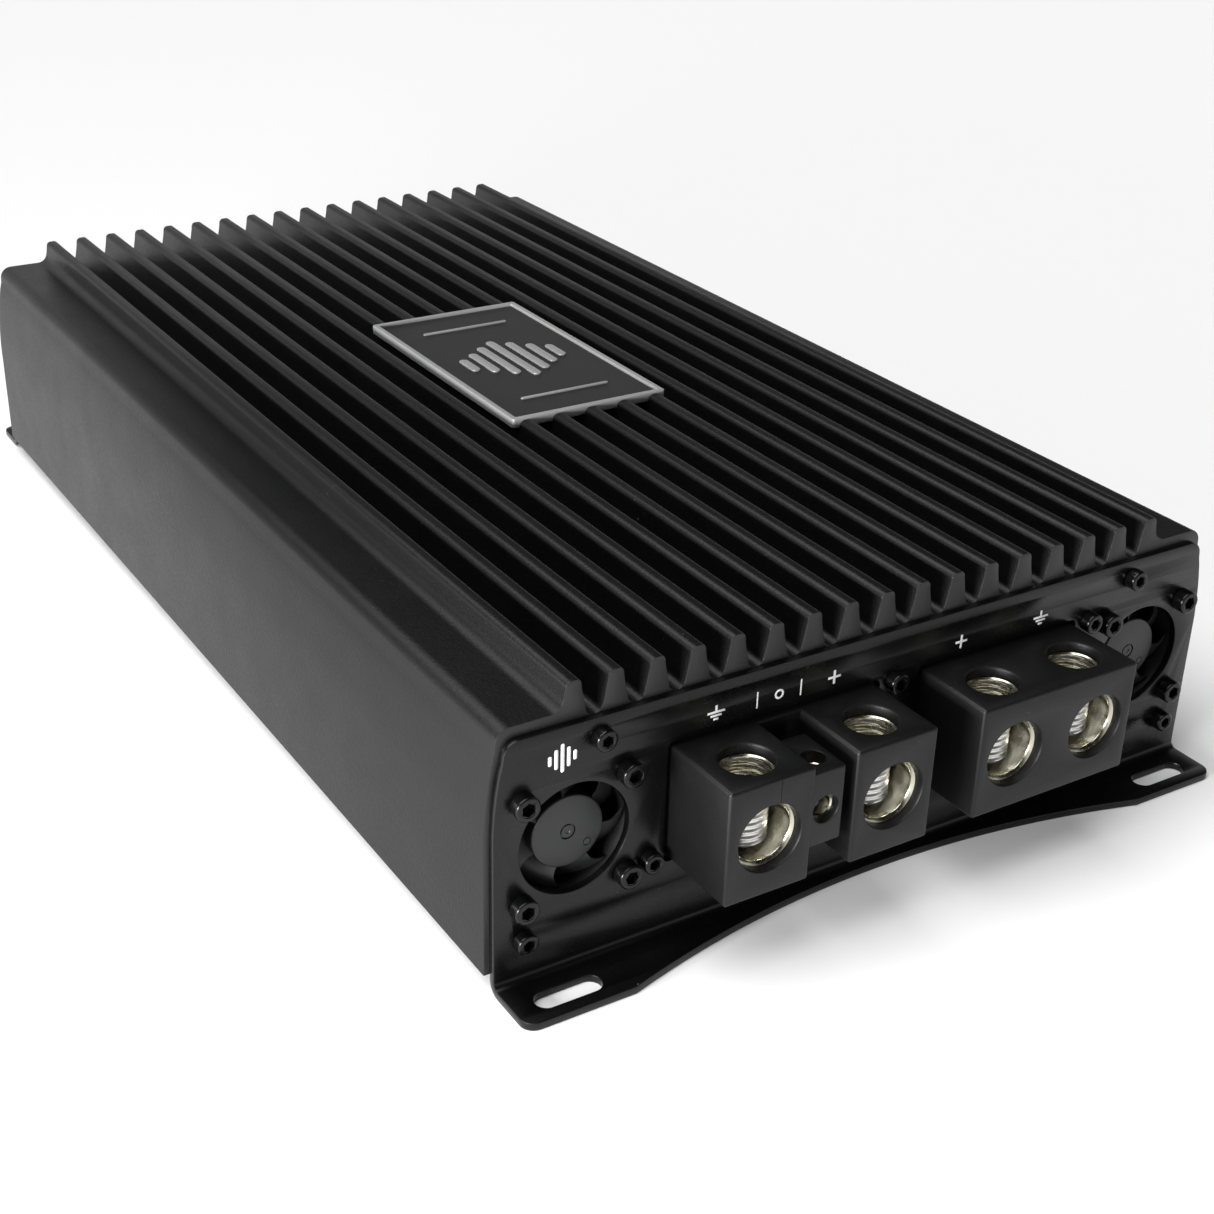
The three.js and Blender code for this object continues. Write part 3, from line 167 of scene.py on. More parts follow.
# Slot: name, colour, roughness, then strength, size and depth of the grain, then the rest.
COOL = (0.97, 1.0, 1.05)
FINISHES = {
    "powder_coat": ("powder_coat_black", grey(0.0013, COOL), 0.43, 1.0, 0.6, 0.075,
                    dict(specular=0.27, mottling=0.22, dust=0.15)),
    "cut_end": ("sawn_end_black", grey(0.006, COOL), 0.42, 0.9, 0.5, 0.03,
                dict(mottling=0.3, streaks=lengthwise(1.0, 1.0, 0.05, 0.75))),
    "coated_sheet": ("sheet_coat_black", grey(0.0012, COOL), 0.3, 0.3, 0.3, 0.012,
                     dict(specular=0.31, dust=0.5)),
    "moulded_black": ("moulded_black", grey(0.0018, COOL), 0.47, 1.0, 0.45, 0.05,
                      dict(specular=0.33, mottling=0.2, dust=0.3)),
    "knob_plastic": ("knob_black", grey(0.006), 0.5, 0.4, 0.2, 0.015, {}),
    "fan_frame_plastic": ("fan_frame_black", grey(0.003), 0.5, 0.4, 0.25, 0.015, {}),
    "fan_rotor_plastic": ("fan_rotor_dark", grey(0.011, COOL), 0.4, 0.3, 0.25, 0.01, {}),
    "black_oxide": ("black_oxide_steel", grey(0.002, COOL), 0.22, 0.3, 0.3, 0.01,
                    dict(specular=0.3, mottling=0.3)),
    "plated_metal": ("champagne_plating", (0.52, 0.50, 0.41), 0.22, 0.25, 0.9, 0.02,
                     dict(metal=1.0, mottling=0.18, rough_spread=0.1)),
    "plated_screw": ("nickel_screw", (0.80, 0.79, 0.76), 0.34, 0.2, 0.5, 0.01,
                     dict(metal=1.0, mottling=0.12)),
    "badge_silver": ("badge_border", (0.3, 0.305, 0.3), 0.38, 0.3, 0.3, 0.01,
                     dict(metal=0.25, streaks=lengthwise(0.1, 1.0, 1.0))),
    "badge_field": ("badge_field", grey(0.007), 0.5, 0.6, 0.3, 0.03, dict(mottling=0.3)),
    "print_white": ("screen_print_white", grey(0.72), 0.55, 0.3, 0.15, 0.01, dict(mottling=0.05)),
    "circuit_board": ("solder_mask_green", (0.01, 0.09, 0.03), 0.45, 0.3, 1.5, 0.03,
                      dict(mottling=0.3)),
    "winding": ("copper_winding", (0.42, 0.16, 0.05), 0.35, 0.8, 0.7, 0.2,
                dict(metal=0.6, mottling=0.3, streaks=lengthwise(1.0, 1.0, 0.15))),
    "bare_aluminium": ("bare_aluminium", grey(0.45), 0.38, 0.3, 0.4, 0.02,
                       dict(metal=1.0, streaks=lengthwise(1.0, 0.05, 1.0))),
    "capacitor_sleeve": ("capacitor_sleeve", grey(0.02, COOL), 0.3, 0.1, 0.6, 0.01, {}),
    "jack_nickel": ("jack_nickel", grey(0.6), 0.22, 0.15, 0.4, 0.01, dict(metal=1.0)),
    "clear_lamp": ("lamp_lens", (0.6, 0.65, 0.7), 0.12, 0.1, 0.5, 0.01, dict(coat=0.5)),
    "jack_red": ("jack_ring_red", (0.35, 0.01, 0.01), 0.4, 0.2, 0.2, 0.01, {}),
    "jack_white": ("jack_ring_white", grey(0.6), 0.4, 0.2, 0.2, 0.01, {}),
}
MAT = {slot: make_material(*values, **rest) for slot, (*values, rest) in FINISHES.items()}


# ---- mesh making
def link(name, mesh):
    obj = bpy.data.objects.new(name, mesh)
    SCENE.collection.objects.link(obj)
    return obj


def discard(obj):
    data = obj.data
    bpy.data.objects.remove(obj)
    if data.users == 0 and isinstance(data, bpy.types.Mesh):
        bpy.data.meshes.remove(data)


def baked(obj):
    """The mesh of obj with its modifiers applied."""
    bpy.context.view_layer.update()
    graph = bpy.context.evaluated_depsgraph_get()
    return bpy.data.meshes.new_from_object(obj.evaluated_get(graph))


def welded(mesh, distance_m):
    """Joins points closer than a distance and turns the faces outwards."""
    bm = bmesh.new()
    bm.from_mesh(mesh)
    bmesh.ops.remove_doubles(bm, verts=bm.verts, dist=distance_m)
    bmesh.ops.recalc_face_normals(bm, faces=bm.faces)
    bm.to_mesh(mesh)
    bm.free()
    return mesh


def mesh_of(name, verts, faces):
    mesh = bpy.data.meshes.new(name)
    mesh.from_pydata([tuple(c * MM for c in v) for v in verts], [], faces)
    return welded(mesh, 1e-7)


def lathe(name, profile, segments=48):
    """Solid turned about local Z from (radius, height) points.

    The profile starts and ends on the axis, or closes."""
    verts, faces = [], []
    rings = []
    for r, z in profile:
        if r < 1e-6:
            rings.append([len(verts)] * segments)
            verts.append((0, 0, z))
            continue
        start = len(verts)
        rings.append(list(range(start, start + segments)))
        for i in range(segments):
            a = TURN * i / segments
            verts.append((r * math.cos(a), r * math.sin(a), z))
    for low, high in zip(rings, rings[1:]):
        for i in range(segments):
            j = (i + 1) % segments
            around = [low[i], low[j], high[j], high[i]]
            distinct = [c for k, c in enumerate(around) if c not in around[:k]]
            if len(distinct) > 2:
                faces.append(distinct)
    return mesh_of(name, verts, faces)


def plate_mesh(name, outlines, thickness, bevel, steps=1):
    """Flat plate in local XY with softened edges, its faces at z 0 and thickness."""
    curve = bpy.data.curves.new(name, "CURVE")
    curve.dimensions = "2D"
    curve.fill_mode = "BOTH"
    curve.extrude = (thickness / 2 - bevel) * MM
    curve.bevel_depth = bevel * MM
    curve.bevel_resolution = steps
    curve.offset = -bevel * MM
    for points in outlines:
        spline = curve.splines.new("POLY")
        spline.points.add(len(points) - 1)
        for point, (x, y) in zip(spline.points, points):
            point.co = (x * MM, y * MM, 0, 1)
        spline.use_cyclic_u = True
    obj = link(name, curve)
    mesh = baked(obj)
    bpy.data.objects.remove(obj)
    bpy.data.curves.remove(curve)
    return welded(moved(mesh, z=thickness / 2), 2e-6)


def box_mesh(name, low, high, bevel=0.0, steps=2):
    """Box between two corners in millimetres, with rounded edges."""
    bm = bmesh.new()
    bmesh.ops.create_cube(bm, size=1.0)
    size = [h - l for l, h in zip(low, high)]
    middle = [(h + l) / 2 for l, h in zip(low, high)]
    bmesh.ops.transform(bm, matrix=Matrix.Diagonal((*[s * MM for s in size], 1)), verts=bm.verts)
    if bevel:
        bmesh.ops.bevel(bm, geom=bm.edges[:] + bm.verts[:], offset=bevel * MM, segments=steps,
                        profile=0.5, affect="EDGES")
    bmesh.ops.translate(bm, vec=[m * MM for m in middle], verts=bm.verts)
    mesh = bpy.data.meshes.new(name)
    bm.to_mesh(mesh)
    bm.free()
    return mesh


def combine(mesh, tools, operation="DIFFERENCE"):
    """The mesh with each of the tool meshes cut out of it or added to it."""
    obj = link("working", mesh)
    helpers = []
    for tool in tools:
        helper = link("tool", tool)
        helpers.append(helper)
        mod = obj.modifiers.new("combine", "BOOLEAN")
        mod.operation = operation
        mod.solver = "EXACT"
        mod.object = helper
    result = baked(obj)
    for helper in helpers:
        discard(helper)
    discard(obj)
    return result


STAND = Matrix.Rotation(math.pi / 2, 4, "X")
ABOUT_FACE = Matrix.Rotation(math.pi, 4, "Z")


def shift(x, y, z):
    return Matrix.Translation((x * MM, y * MM, z * MM))


def along_y(mesh, x, y, z, forward=-1):
    """Moves a mesh made about local Z so that +Z points to -Y (or +Y), its origin at the point."""
    turn = STAND if forward < 0 else STAND.inverted()
    mesh.transform(shift(x, y, z) @ turn)
    return mesh


def moved(mesh, x=0, y=0, z=0):
    mesh.transform(shift(x, y, z))
    return mesh


def to_rear(mesh):
    mesh.transform(ABOUT_FACE)
    return mesh


def circle(x, y, r, count=48):
    return [(x + r * math.cos(TURN * i / count), y + r * math.sin(TURN * i / count))
            for i in range(count)]


def rounded(x0, x1, y0, y1, r, steps=6):
    """Outline of a rectangle with rounded corners."""
    quarters = ((x1 - r, y0 + r, -90), (x1 - r, y1 - r, 0),
                (x0 + r, y1 - r, 90), (x0 + r, y0 + r, 180))
    return [point for cx, cy, a in quarters for point in arc(cx, cy, r, a, a + 90, steps)]


def arc(cx, cy, r, start, end, steps):
    """Points on an arc between two angles in degrees."""
    return [(cx + r * math.cos(math.radians(start + (end - start) * i / steps)),
             cy + r * math.sin(math.radians(start + (end - start) * i / steps)))
            for i in range(steps + 1)]


def show(name, mesh, material, body=ROOT, nodes=(), smooth=38):
    """Puts a finished mesh in the scene as a piece that rides on a body.

    It gets the material kept under the given key, and the CAD nodes it stands for are hidden."""
    mesh.materials.clear()
    mesh.materials.append(MAT[material])
    mesh.shade_smooth()
    mesh.set_sharp_from_angle(angle=math.radians(smooth))
    obj = link(name, mesh)
    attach(obj, body)
    if nodes:
        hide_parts(*nodes)


def corners(node):
    """A CAD node's lowest and highest corner in millimetres."""
    low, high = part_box(node)
    return [c / MM for c in low], [c / MM for c in high]


# ---- sizes taken from the frame
shell_low, shell_high = corners("heatsink_shell")
panel_low, panel_high = corners("front_end_panel")
badge_low, badge_high = corners("badge_plate")
END = shell_high[1]
HALF = shell_high[0]
SHEET = 1.8
FACE = END + SHEET
PANEL_HALF = panel_high[0]
PANEL_TOP = panel_high[2]

# ---- heatsink shell
EDGE_SOFTENING = 0.22
SHOULDER = 60.2
FIN_TOP = shell_high[2]
VALLEY = SHOULDER - 2.4
CEILING = VALLEY - 3.6
INNER = HALF - 3.2
FIRST_FIN = HALF - 19.64
FIN_COUNT = 17
FIN_PITCH = 2 * FIRST_FIN / (FIN_COUNT - 1)
FIN_TIP = 1.8
FIN_ROOT = 2.9
FIN_ROUND = 1.3
VALLEY_HALF = FIN_PITCH / 2 - FIN_ROOT
VALLEY_RISE = 1.5
VALLEY_CURVE = [(VALLEY_HALF * (1 - math.cos(math.radians(a))),
                 VALLEY_RISE * (1 - math.sin(math.radians(a)))) for a in range(12, 85, 12)]
# How far the side wall leans in, at a depth below the shoulder.
WALL_LEAN = [(0, 24.2), (0.22, 20), (0.45, 17.5), (0.72, 15), (1.0, 12.4), (1.32, 10),
             (1.62, 8.1), (1.95, 6.5), (2.45, 4.6)]
SHOULDER_ROUND = 3.4
FOOT_ROUND = 2.9
LOW_SCREW = (HALF - 7.9, 11.5)
HIGH_SCREW = (HALF - 25, 53.5)
FIXING_SPOTS = [(side * x, z) for side in (-1, 1) for x, z in (LOW_SCREW, HIGH_SCREW)]
FIXING_HOLE = 1.5
POCKET_GAP = 0.4


def fin_side(x, side):
    """Flared side of one fin, from its root up to the rounded tip."""
    points = []
    steps = 7
    foot = VALLEY + VALLEY_RISE
    flare = 1.25
    for i in range(steps + 1):
        t = i / steps
        out = FIN_TIP + (FIN_ROOT - FIN_TIP) * (1 - t) ** flare
        points.append((x + side * out, foot + (FIN_TOP - FIN_ROUND - foot) * t))
    tip = arc(FIN_TIP - FIN_ROUND, FIN_TOP - FIN_ROUND, FIN_ROUND, 0, 90, 6)
    return points + [(x + side * out, z) for out, z in tip[1:]]


def shell_outline():
    """Right half from the foot up to the last fin, then every fin, then the mirror image."""
    right = [(HALF, shell_low[2])]
    right += [(HALF - inset, SHOULDER - below) for inset, below in WALL_LEAN]
    right += arc(HALF - 2.5 - SHOULDER_ROUND, SHOULDER - SHOULDER_ROUND, SHOULDER_ROUND, 14, 90, 8)
    foot_x = FIRST_FIN + FIN_TIP + 0.35 + FOOT_ROUND
    right += arc(foot_x, SHOULDER + FOOT_ROUND, FOOT_ROUND, 270, 190, 8)
    right += [p for p in fin_side(FIRST_FIN, 1) if p[1] > SHOULDER + 2.6]
    points = list(right)
    for i in range(FIN_COUNT - 1, -1, -1):
        x = -FIRST_FIN + i * FIN_PITCH
        if i < FIN_COUNT - 1:
            points += fin_side(x, 1)
        if i > 0:
            points += fin_side(x, -1)[::-1]
            left = x - FIN_PITCH
            points += [(x - FIN_ROOT - dx, VALLEY + up) for dx, up in VALLEY_CURVE]
            points += [(left + FIN_ROOT + dx, VALLEY + up) for dx, up in VALLEY_CURVE[::-1]]
    points += [(-x, z) for x, z in right[::-1]]
    inside = inside_outline()
    return points + [(-x, z) for x, z in inside] + inside[::-1]


def inside_outline():
    """Right half of the hollow, with the bosses that the end panels are screwed to."""
    boss = INNER - 8.4
    corner = 8
    pillar = 4
    return ([(INNER, shell_low[2]), (INNER, 5.8), (boss - 4, 5.8), (boss - 4, 8.5), (boss, 8.5),
             (boss, 15.2), (INNER, 15.2), (INNER, CEILING - corner)]
            + arc(INNER - corner, CEILING - corner, corner, 15, 90, 5)
            + [(HIGH_SCREW[0] + pillar, CEILING), (HIGH_SCREW[0] + pillar, CEILING - 4.4),
               (HIGH_SCREW[0] - pillar, CEILING - 4.4), (HIGH_SCREW[0] - pillar, CEILING)])


shell_holes = [circle(x, z, FIXING_HOLE, 16) for x, z in FIXING_SPOTS]
shell = plate_mesh("shell", [shell_outline()] + shell_holes, 2 * END, EDGE_SOFTENING)
shell.transform(shift(0, END, 0) @ STAND)
pocket = box_mesh("pocket", (badge_low[0] - POCKET_GAP, badge_low[1] - POCKET_GAP, badge_low[2]),
                  (badge_high[0] + POCKET_GAP, badge_high[1] + POCKET_GAP, FIN_TOP + 5))
shell = combine(shell, [pocket])
show("heatsink_body", shell, "powder_coat", nodes=["heatsink_shell"], smooth=32)
shell.materials.append(MAT["cut_end"])
for face in shell.polygons:
    if abs(face.normal.y) > 0.9:
        face.material_index = 1


# ---- bent end panels
BEND = 1.6
FLAT_Z = SHEET + BEND
BEND_LENGTH = math.pi / 2 * (BEND + SHEET / 2)
REACH = -panel_low[1] - END
PAD = 25
HOLLOW = 10.3
TOP_ROUND = 3.4
PAD_ROUND = 3.2
# How far the panel's side leans in, at a depth below its top edge.
SIDE_LEAN = ((2.1, 4.4), (1.55, 6.6), (1.1, 9.2), (0.68, 12), (0.35, 15), (0, 20))
SLOT_INSET = 12.6
SLOT_Y = 9.6
SLOT_HALF = (7.6, 2.6)
FAN_WINDOW = 12.6
housing_low = corners("power_housing_left")[0]
speaker_low, speaker_high = corners("speaker_housing")


def screw_centre(node):
    low, high = corners(node)
    return (low[0] + high[0]) / 2, (low[2] + high[2]) / 2


def flat_panel_outline():
    """Sheet laid flat: x across, and the distance down the sheet, 0 where the bend starts."""
    top = FLAT_Z - PANEL_TOP
    outer = BEND_LENGTH + REACH - FLAT_Z
    pad = PANEL_HALF - PAD
    bow = (pad * pad + HOLLOW * HOLLOW) / (2 * HOLLOW)
    right = [(x, 2 * (top + TOP_ROUND) - s) for x, s in
             arc(PANEL_HALF - 2.25 - TOP_ROUND, top + TOP_ROUND, TOP_ROUND, 90, 12, 7)]
    right += [(PANEL_HALF - inset, top + below) for inset, below in SIDE_LEAN]
    right += arc(PANEL_HALF - PAD_ROUND, outer - PAD_ROUND, PAD_ROUND, 0, 90, 7)
    steps = 44
    edge = []
    for i in range(steps + 1):
        x = pad - 2 * pad * i / steps
        edge.append((x, outer - (HOLLOW - bow + math.sqrt(bow * bow - x * x))))
    return right + edge + [(-x, s) for x, s in right[::-1]]


def bent_panel(openings):
    """Front panel made flat with its openings (given upright as x, z), then bent at its foot."""
    slot_s = BEND_LENGTH + SLOT_Y - FLAT_Z
    outlines = [flat_panel_outline()]
    for x in (SLOT_INSET - PANEL_HALF, PANEL_HALF - SLOT_INSET):
        outlines.append(rounded(x - SLOT_HALF[0], x + SLOT_HALF[0],
                                slot_s - SLOT_HALF[1], slot_s + SLOT_HALF[1], 2.59, 8))
    for hole in openings:
        outlines.append([(x, FLAT_Z - z) for x, z in hole])
    mesh = plate_mesh("panel", outlines, SHEET, EDGE_SOFTENING)
    bm = bmesh.new()
    bm.from_mesh(mesh)
    cuts = 8
    for i in range(cuts + 1):
        s = BEND_LENGTH * i / cuts * MM
        bmesh.ops.bisect_plane(bm, geom=bm.verts[:] + bm.edges[:] + bm.faces[:], dist=1e-7,
                               plane_co=(0, s, 0), plane_no=(0, 1, 0))
    radius = (BEND + SHEET / 2) * MM
    for v in bm.verts:
        x, s, w = v.co
        if s <= 0:
            v.co = (x, -END * MM - w, FLAT_Z * MM - s)
        elif s >= BEND_LENGTH * MM:
            v.co = (x, -(END + FLAT_Z) * MM - (s - BEND_LENGTH * MM), w)
        else:
            a = s / radius
            reach = FLAT_Z * MM - w
            v.co = (x, -(END + FLAT_Z) * MM + reach * math.cos(a),
                    FLAT_Z * MM - reach * math.sin(a))
    bmesh.ops.recalc_face_normals(bm, faces=bm.faces)
    bm.to_mesh(mesh)
    bm.free()
    return mesh


BLOCK_LOW_Z = 19.5
BLOCK_HIGH_Z = 46.1
FLANGE_LIP = 1.7
LOW_EAR = 4.6
HIGH_EAR = 4.7


def block_span(node):
    """Left and right face of the block that comes out of the panel."""
    low, high = corners(node)
    return low[0] + LOW_EAR + 2.4, high[0] - HIGH_EAR - 2.4


LEFT_SPAN = block_span("power_housing_left")
RIGHT_SPAN = block_span("power_housing_right")


def block_window(span):
    """Opening around a terminal block, seen from the front."""
    return rounded(span[0] - 0.9, span[1] + 0.9, BLOCK_LOW_Z - 0.9, BLOCK_HIGH_Z + 0.9, 1.2, 4)


FAN_HOLE = 1.75
fan_x, fan_z = screw_centre("fan_frame_right")
FAN_SCREWS = ["fan_screw_%s_%d" % (side, i) for side in ("left", "right") for i in (1, 2, 3, 4)]
BLOCK_SCREWS = ["terminal_screw_%s_%s" % (level, side)
                for side in ("left", "right") for level in ("lower", "upper")]
fixing_holes = [circle(x, z, FIXING_HOLE, 20) for x, z in FIXING_SPOTS]
front_openings = fixing_holes + [block_window(LEFT_SPAN), block_window(RIGHT_SPAN)]
front_openings += [circle(side * fan_x, fan_z, FAN_WINDOW, 72) for side in (-1, 1)]
front_openings += [circle(*screw_centre(n), FAN_HOLE, 20) for n in FAN_SCREWS]
front_openings += [circle(*screw_centre(n), FIXING_HOLE, 20) for n in BLOCK_SCREWS]
show("front_panel", bent_panel(front_openings), "coated_sheet",
     nodes=["front_end_panel"], smooth=32)

RCA = screw_centre("rca_jack_block")[0]
JACK_SPOTS = ((RCA - 7.5, "white"), (RCA + 7.5, "red"))
JACK_Z = 33
KNOBS = ["knob_gain", "knob_low_pass", "knob_subsonic", "knob_bass_boost"]
KNOB_Z = screw_centre("knob_gain")[1]
port_low, port_high = corners("bass_control_socket")
lamp_low, lamp_high = corners("status_lamp")
lamp_x = (lamp_low[0] + lamp_high[0]) / 2
lamp_z = lamp_high[2] - 1.6
# The speaker block is made at the front and turned to the rear, so its x is reversed here.
speaker_x = -(speaker_low[0] + speaker_high[0] + HIGH_EAR - LOW_EAR) / 2
SPEAKER_HALF = 21.9
SPEAKER_SPAN = (speaker_x - SPEAKER_HALF, speaker_x + SPEAKER_HALF)
SPEAKER_SCREWS = [(SPEAKER_SPAN[0] - LOW_EAR, 20.8), (SPEAKER_SPAN[1] + HIGH_EAR, 45.7)]
rear_openings = fixing_holes + [block_window(SPEAKER_SPAN)]
rear_openings += [circle(x, z, FIXING_HOLE, 20) for x, z in SPEAKER_SCREWS]
rear_openings += [circle(-x, JACK_Z, 5.2, 40) for x, _ in JACK_SPOTS]
rear_openings += [circle(-screw_centre(n)[0], 41, 3.7, 32) for n in KNOBS]
rear_openings.append(rounded(-port_high[0] - 0.5, -port_low[0] + 0.5, 14.6, 27.4, 0.8, 4))
rear_openings.append(circle(-lamp_x, lamp_z, 1.9, 24))
show("rear_panel", to_rear(bent_panel(rear_openings)), "coated_sheet",
     nodes=["rear_end_panel"], smooth=32)


# ---- screws
def cap_screw(head, height, socket, shank, length):
    """Socket head screw about local Z, the underside of its head at z 0 and its head upwards."""
    bm = bmesh.new()
    sixth = math.pi / 6

    def ring(r, z, n=48, turn=0.0):
        return [bm.verts.new((r * math.cos(turn + TURN * i / n) * MM,
                              r * math.sin(turn + TURN * i / n) * MM, z * MM))
                for i in range(n)]

    def wall(a, b):
        for i in range(len(a)):
            j = (i + 1) % len(a)
            bm.faces.new((a[i], a[j], b[j], b[i]))

    profile = [(shank - 0.3, -length), (shank, -length + 0.4), (shank, -0.15), (shank + 0.1, 0),
               (head - 0.12, 0), (head, 0.12), (head, height - 0.55)]
    profile += [(head - 0.5 + 0.5 * math.cos(math.radians(a)),
                 height - 0.5 + 0.5 * math.sin(math.radians(a))) for a in (22, 45, 67, 90)]
    recess = socket / math.cos(sixth)
    profile += [(recess + 0.13, height), (recess + 0.01, height - 0.12)]
    rings = [ring(r, z) for r, z in profile]
    for a, b in zip(rings, rings[1:]):
        wall(a, b)
    bm.faces.new(rings[0][::-1])
    hexagon = ring(recess, height - 0.12, 6, sixth)
    floor = ring(recess, height - 1.7, 6, sixth)
    tip = bm.verts.new((0, 0, (height - 2.0) * MM))
    edges = []
    for loop in (rings[-1], hexagon):
        for i in range(len(loop)):
            pair = (loop[i], loop[(i + 1) % len(loop)])
            edges.append(bm.edges.get(pair) or bm.edges.new(pair))
    bmesh.ops.triangle_fill(bm, edges=edges, use_beauty=True)
    for face in [f for f in bm.faces if all(v in hexagon for v in f.verts)]:
        bm.faces.remove(face)
    wall(hexagon, floor)
    for i in range(6):
        bm.faces.new((floor[i], floor[(i + 1) % 6], tip))
    bmesh.ops.recalc_face_normals(bm, faces=bm.faces)
    mesh = bpy.data.meshes.new("cap_screw")
    bm.to_mesh(mesh)
    bm.free()
    return mesh


M3 = dict(head=2.75, height=3.0, socket=1.38, shank=1.45, length=11)
M25 = dict(head=2.4, height=2.6, socket=1.18, shank=1.2, length=9)
M25_SHORT = dict(M25, length=4.6)


def place_screw(name, size, x, z, forward, node, turn):
    mesh = cap_screw(**size)
    mesh.transform(Matrix.Rotation(turn, 4, "Z"))
    along_y(mesh, x, forward * FACE, z, forward)
    show(name, mesh, "black_oxide", nodes=[node] if node else (), smooth=30)


for i, node in enumerate(FAN_SCREWS):
    place_screw("fan_bolt_%d" % i, M3, *screw_centre(node), -1, node, 0.7 * i)
for i, node in enumerate(BLOCK_SCREWS):
    place_screw("terminal_bolt_%d" % i, M25_SHORT, *screw_centre(node), -1, node, 0.9 * i)
CORNERS = [level + "_" + side for level in ("upper", "lower") for side in ("left", "right")]
for end, forward in (("front", -1), ("rear", 1)):
    for i, corner in enumerate(CORNERS):
        node = "%s_panel_screw_%s" % (end, corner)
        place_screw("%s_panel_bolt_%d" % (end, i), M25, *screw_centre(node), forward, node,
                    1.1 * i)
for i, (x, z) in enumerate(SPEAKER_SCREWS):
    place_screw("speaker_bolt_%d" % i, M25_SHORT, -x, z, 1, None, 0.5 * i)


# ---- fans
HUB = 8.25
HUB_FACE = 0.9
BLADES = 7
BLADE_START = -0.06
BLADE_TIP = 12.9
FAN_HALF = 15
FAN_DEPTH = 10
FAN_SCREW_HALF = 12


def fan_rotor(x):
    """Hub cup with its label circles and seven curved blades, facing forwards."""
    face = HUB_FACE
    profile = [(0, -face - 0.2), (0.45, -face - 0.2), (0.55, -face - 0.05), (1.4, -face - 0.05),
               (1.45, -face - 0.4), (1.75, -face - 0.4), (1.8, -face), (HUB - 0.6, -face),
               (HUB - 0.25, -face - 0.1), (HUB - 0.06, -face - 0.3), (HUB, -face - 0.6),
               (HUB, -7.3), (HUB - 1.1, -7.3), (HUB - 1.1, -face - 1.1), (1, -face - 1.1),
               (1, -9.2), (0, -9.2)]
    hub = along_y(lathe("hub", profile, 72), x, -END, fan_z)
    groove = [(0.72, -face - 0.3), (0.98, -face - 0.3), (0.98, -face + 0.3),
              (0.72, -face + 0.3), (0.72, -face - 0.3)]
    hub = combine(hub, [along_y(lathe("dot", groove, 32), x + 4.5, -END, fan_z - 3.8)])
    blades = [fan_blade(x, TURN * k / BLADES + BLADE_START) for k in range(BLADES)]
    return combine(hub, blades, "UNION")


def fan_blade(x, turn):
    """Two layers of points, chord by span, joined round their four edges."""
    chord, span, thick = 12, 6, 0.75
    root = HUB - 0.5
    verts, faces = [], []
    for layer in (0, 1):
        for i in range(chord + 1):
            u = i / chord
            for j in range(span + 1):
                v = j / span
                r = root + (BLADE_TIP - root) * v
                angle = turn + math.radians(9 * v - 5 * math.sin(math.pi * v) - (44 + 4 * v) * u)
                depth = 1.15 + 4.3 * u ** 1.15 + 0.4 * (1 - v) * u
                body = thick * (0.35 + 0.65 * math.sin(math.pi * min(1, 0.12 + 0.88 * u)))
                depth += layer * body
                verts.append((x + r * math.cos(angle), -END + depth, fan_z + r * math.sin(angle)))
    row = span + 1
    size = (chord + 1) * row
    for i in range(chord):
        for j in range(span):
            a = i * row + j
            faces.append((a, a + 1, a + row + 1, a + row))
            b = a + size
            faces.append((b, b + row, b + row + 1, b + 1))
    for i in range(chord):
        for j in (0, span):
            a = i * row + j
            faces.append((a, a + row, a + row + size, a + size))
    for j in range(span):
        for i in (0, chord):
            a = i * row + j
            faces.append((a, a + 1, a + 1 + size, a + size))
    return mesh_of("blade", verts, faces)


def fan_frame(x):
    """Square frame with its screw holes, the motor plate behind the hub and three struts."""
    spots = (-FAN_SCREW_HALF, FAN_SCREW_HALF)
    outlines = [rounded(x - FAN_HALF, x + FAN_HALF, fan_z - FAN_HALF, fan_z + FAN_HALF, 2.2, 5),
                circle(x, fan_z, 13.6, 72)]
    outlines += [circle(x + a, fan_z + b, FAN_HOLE, 20) for a in spots for b in spots]
    frame_mesh = plate_mesh("fan_ring", outlines, FAN_DEPTH, 0.3)
    frame_mesh.transform(shift(0, FAN_DEPTH - END, 0) @ STAND)
    plate = [(1.3, -2.5), (6.65, -2.5), (6.65, -8.2), (HUB, -8.2), (HUB, -9.8),
             (HUB - 0.2, -FAN_DEPTH), (1.3, -FAN_DEPTH), (1.3, -2.5)]
    parts = [along_y(lathe("motor", plate), x, -END, fan_z)]
    for k in range(3):
        strut = box_mesh("strut", (HUB - 0.4, -0.8, -FAN_DEPTH), (14.4, 0.8, -8.2), 0.2, 1)
        strut.transform(Matrix.Rotation(math.pi / 2 + k * TURN / 3, 4, "Z"))
        parts.append(along_y(strut, x, -END, fan_z))
    return combine(frame_mesh, parts, "UNION")


for x, label in ((-fan_x, "left"), (fan_x, "right")):
    show("fan_housing_" + label, fan_frame(x), "fan_frame_plastic", nodes=["fan_frame_" + label])
    rotor = "fan_rotor_" + label
    show("fan_impeller_" + label, fan_rotor(x), "fan_rotor_plastic", body=rotor, nodes=[rotor],
         smooth=30)


# ---- terminal housings
BLOCK_FACE = -housing_low[1]
INSERT_FACE = BLOCK_FACE - 2
CABLE_Z = 32.7
CABLE_R = 6.4
MOUTH_R = 7.6
KEY_R = 5.85
CLAMP_Y = BLOCK_FACE - 9.3
INSERT_LOW = 22.0
INSERT_HIGH = 43.7
CUBE = 20.6
PAIR_HALF = 11.6
ROOM_HALF = 8.05
INSERT_HALF = 7.9


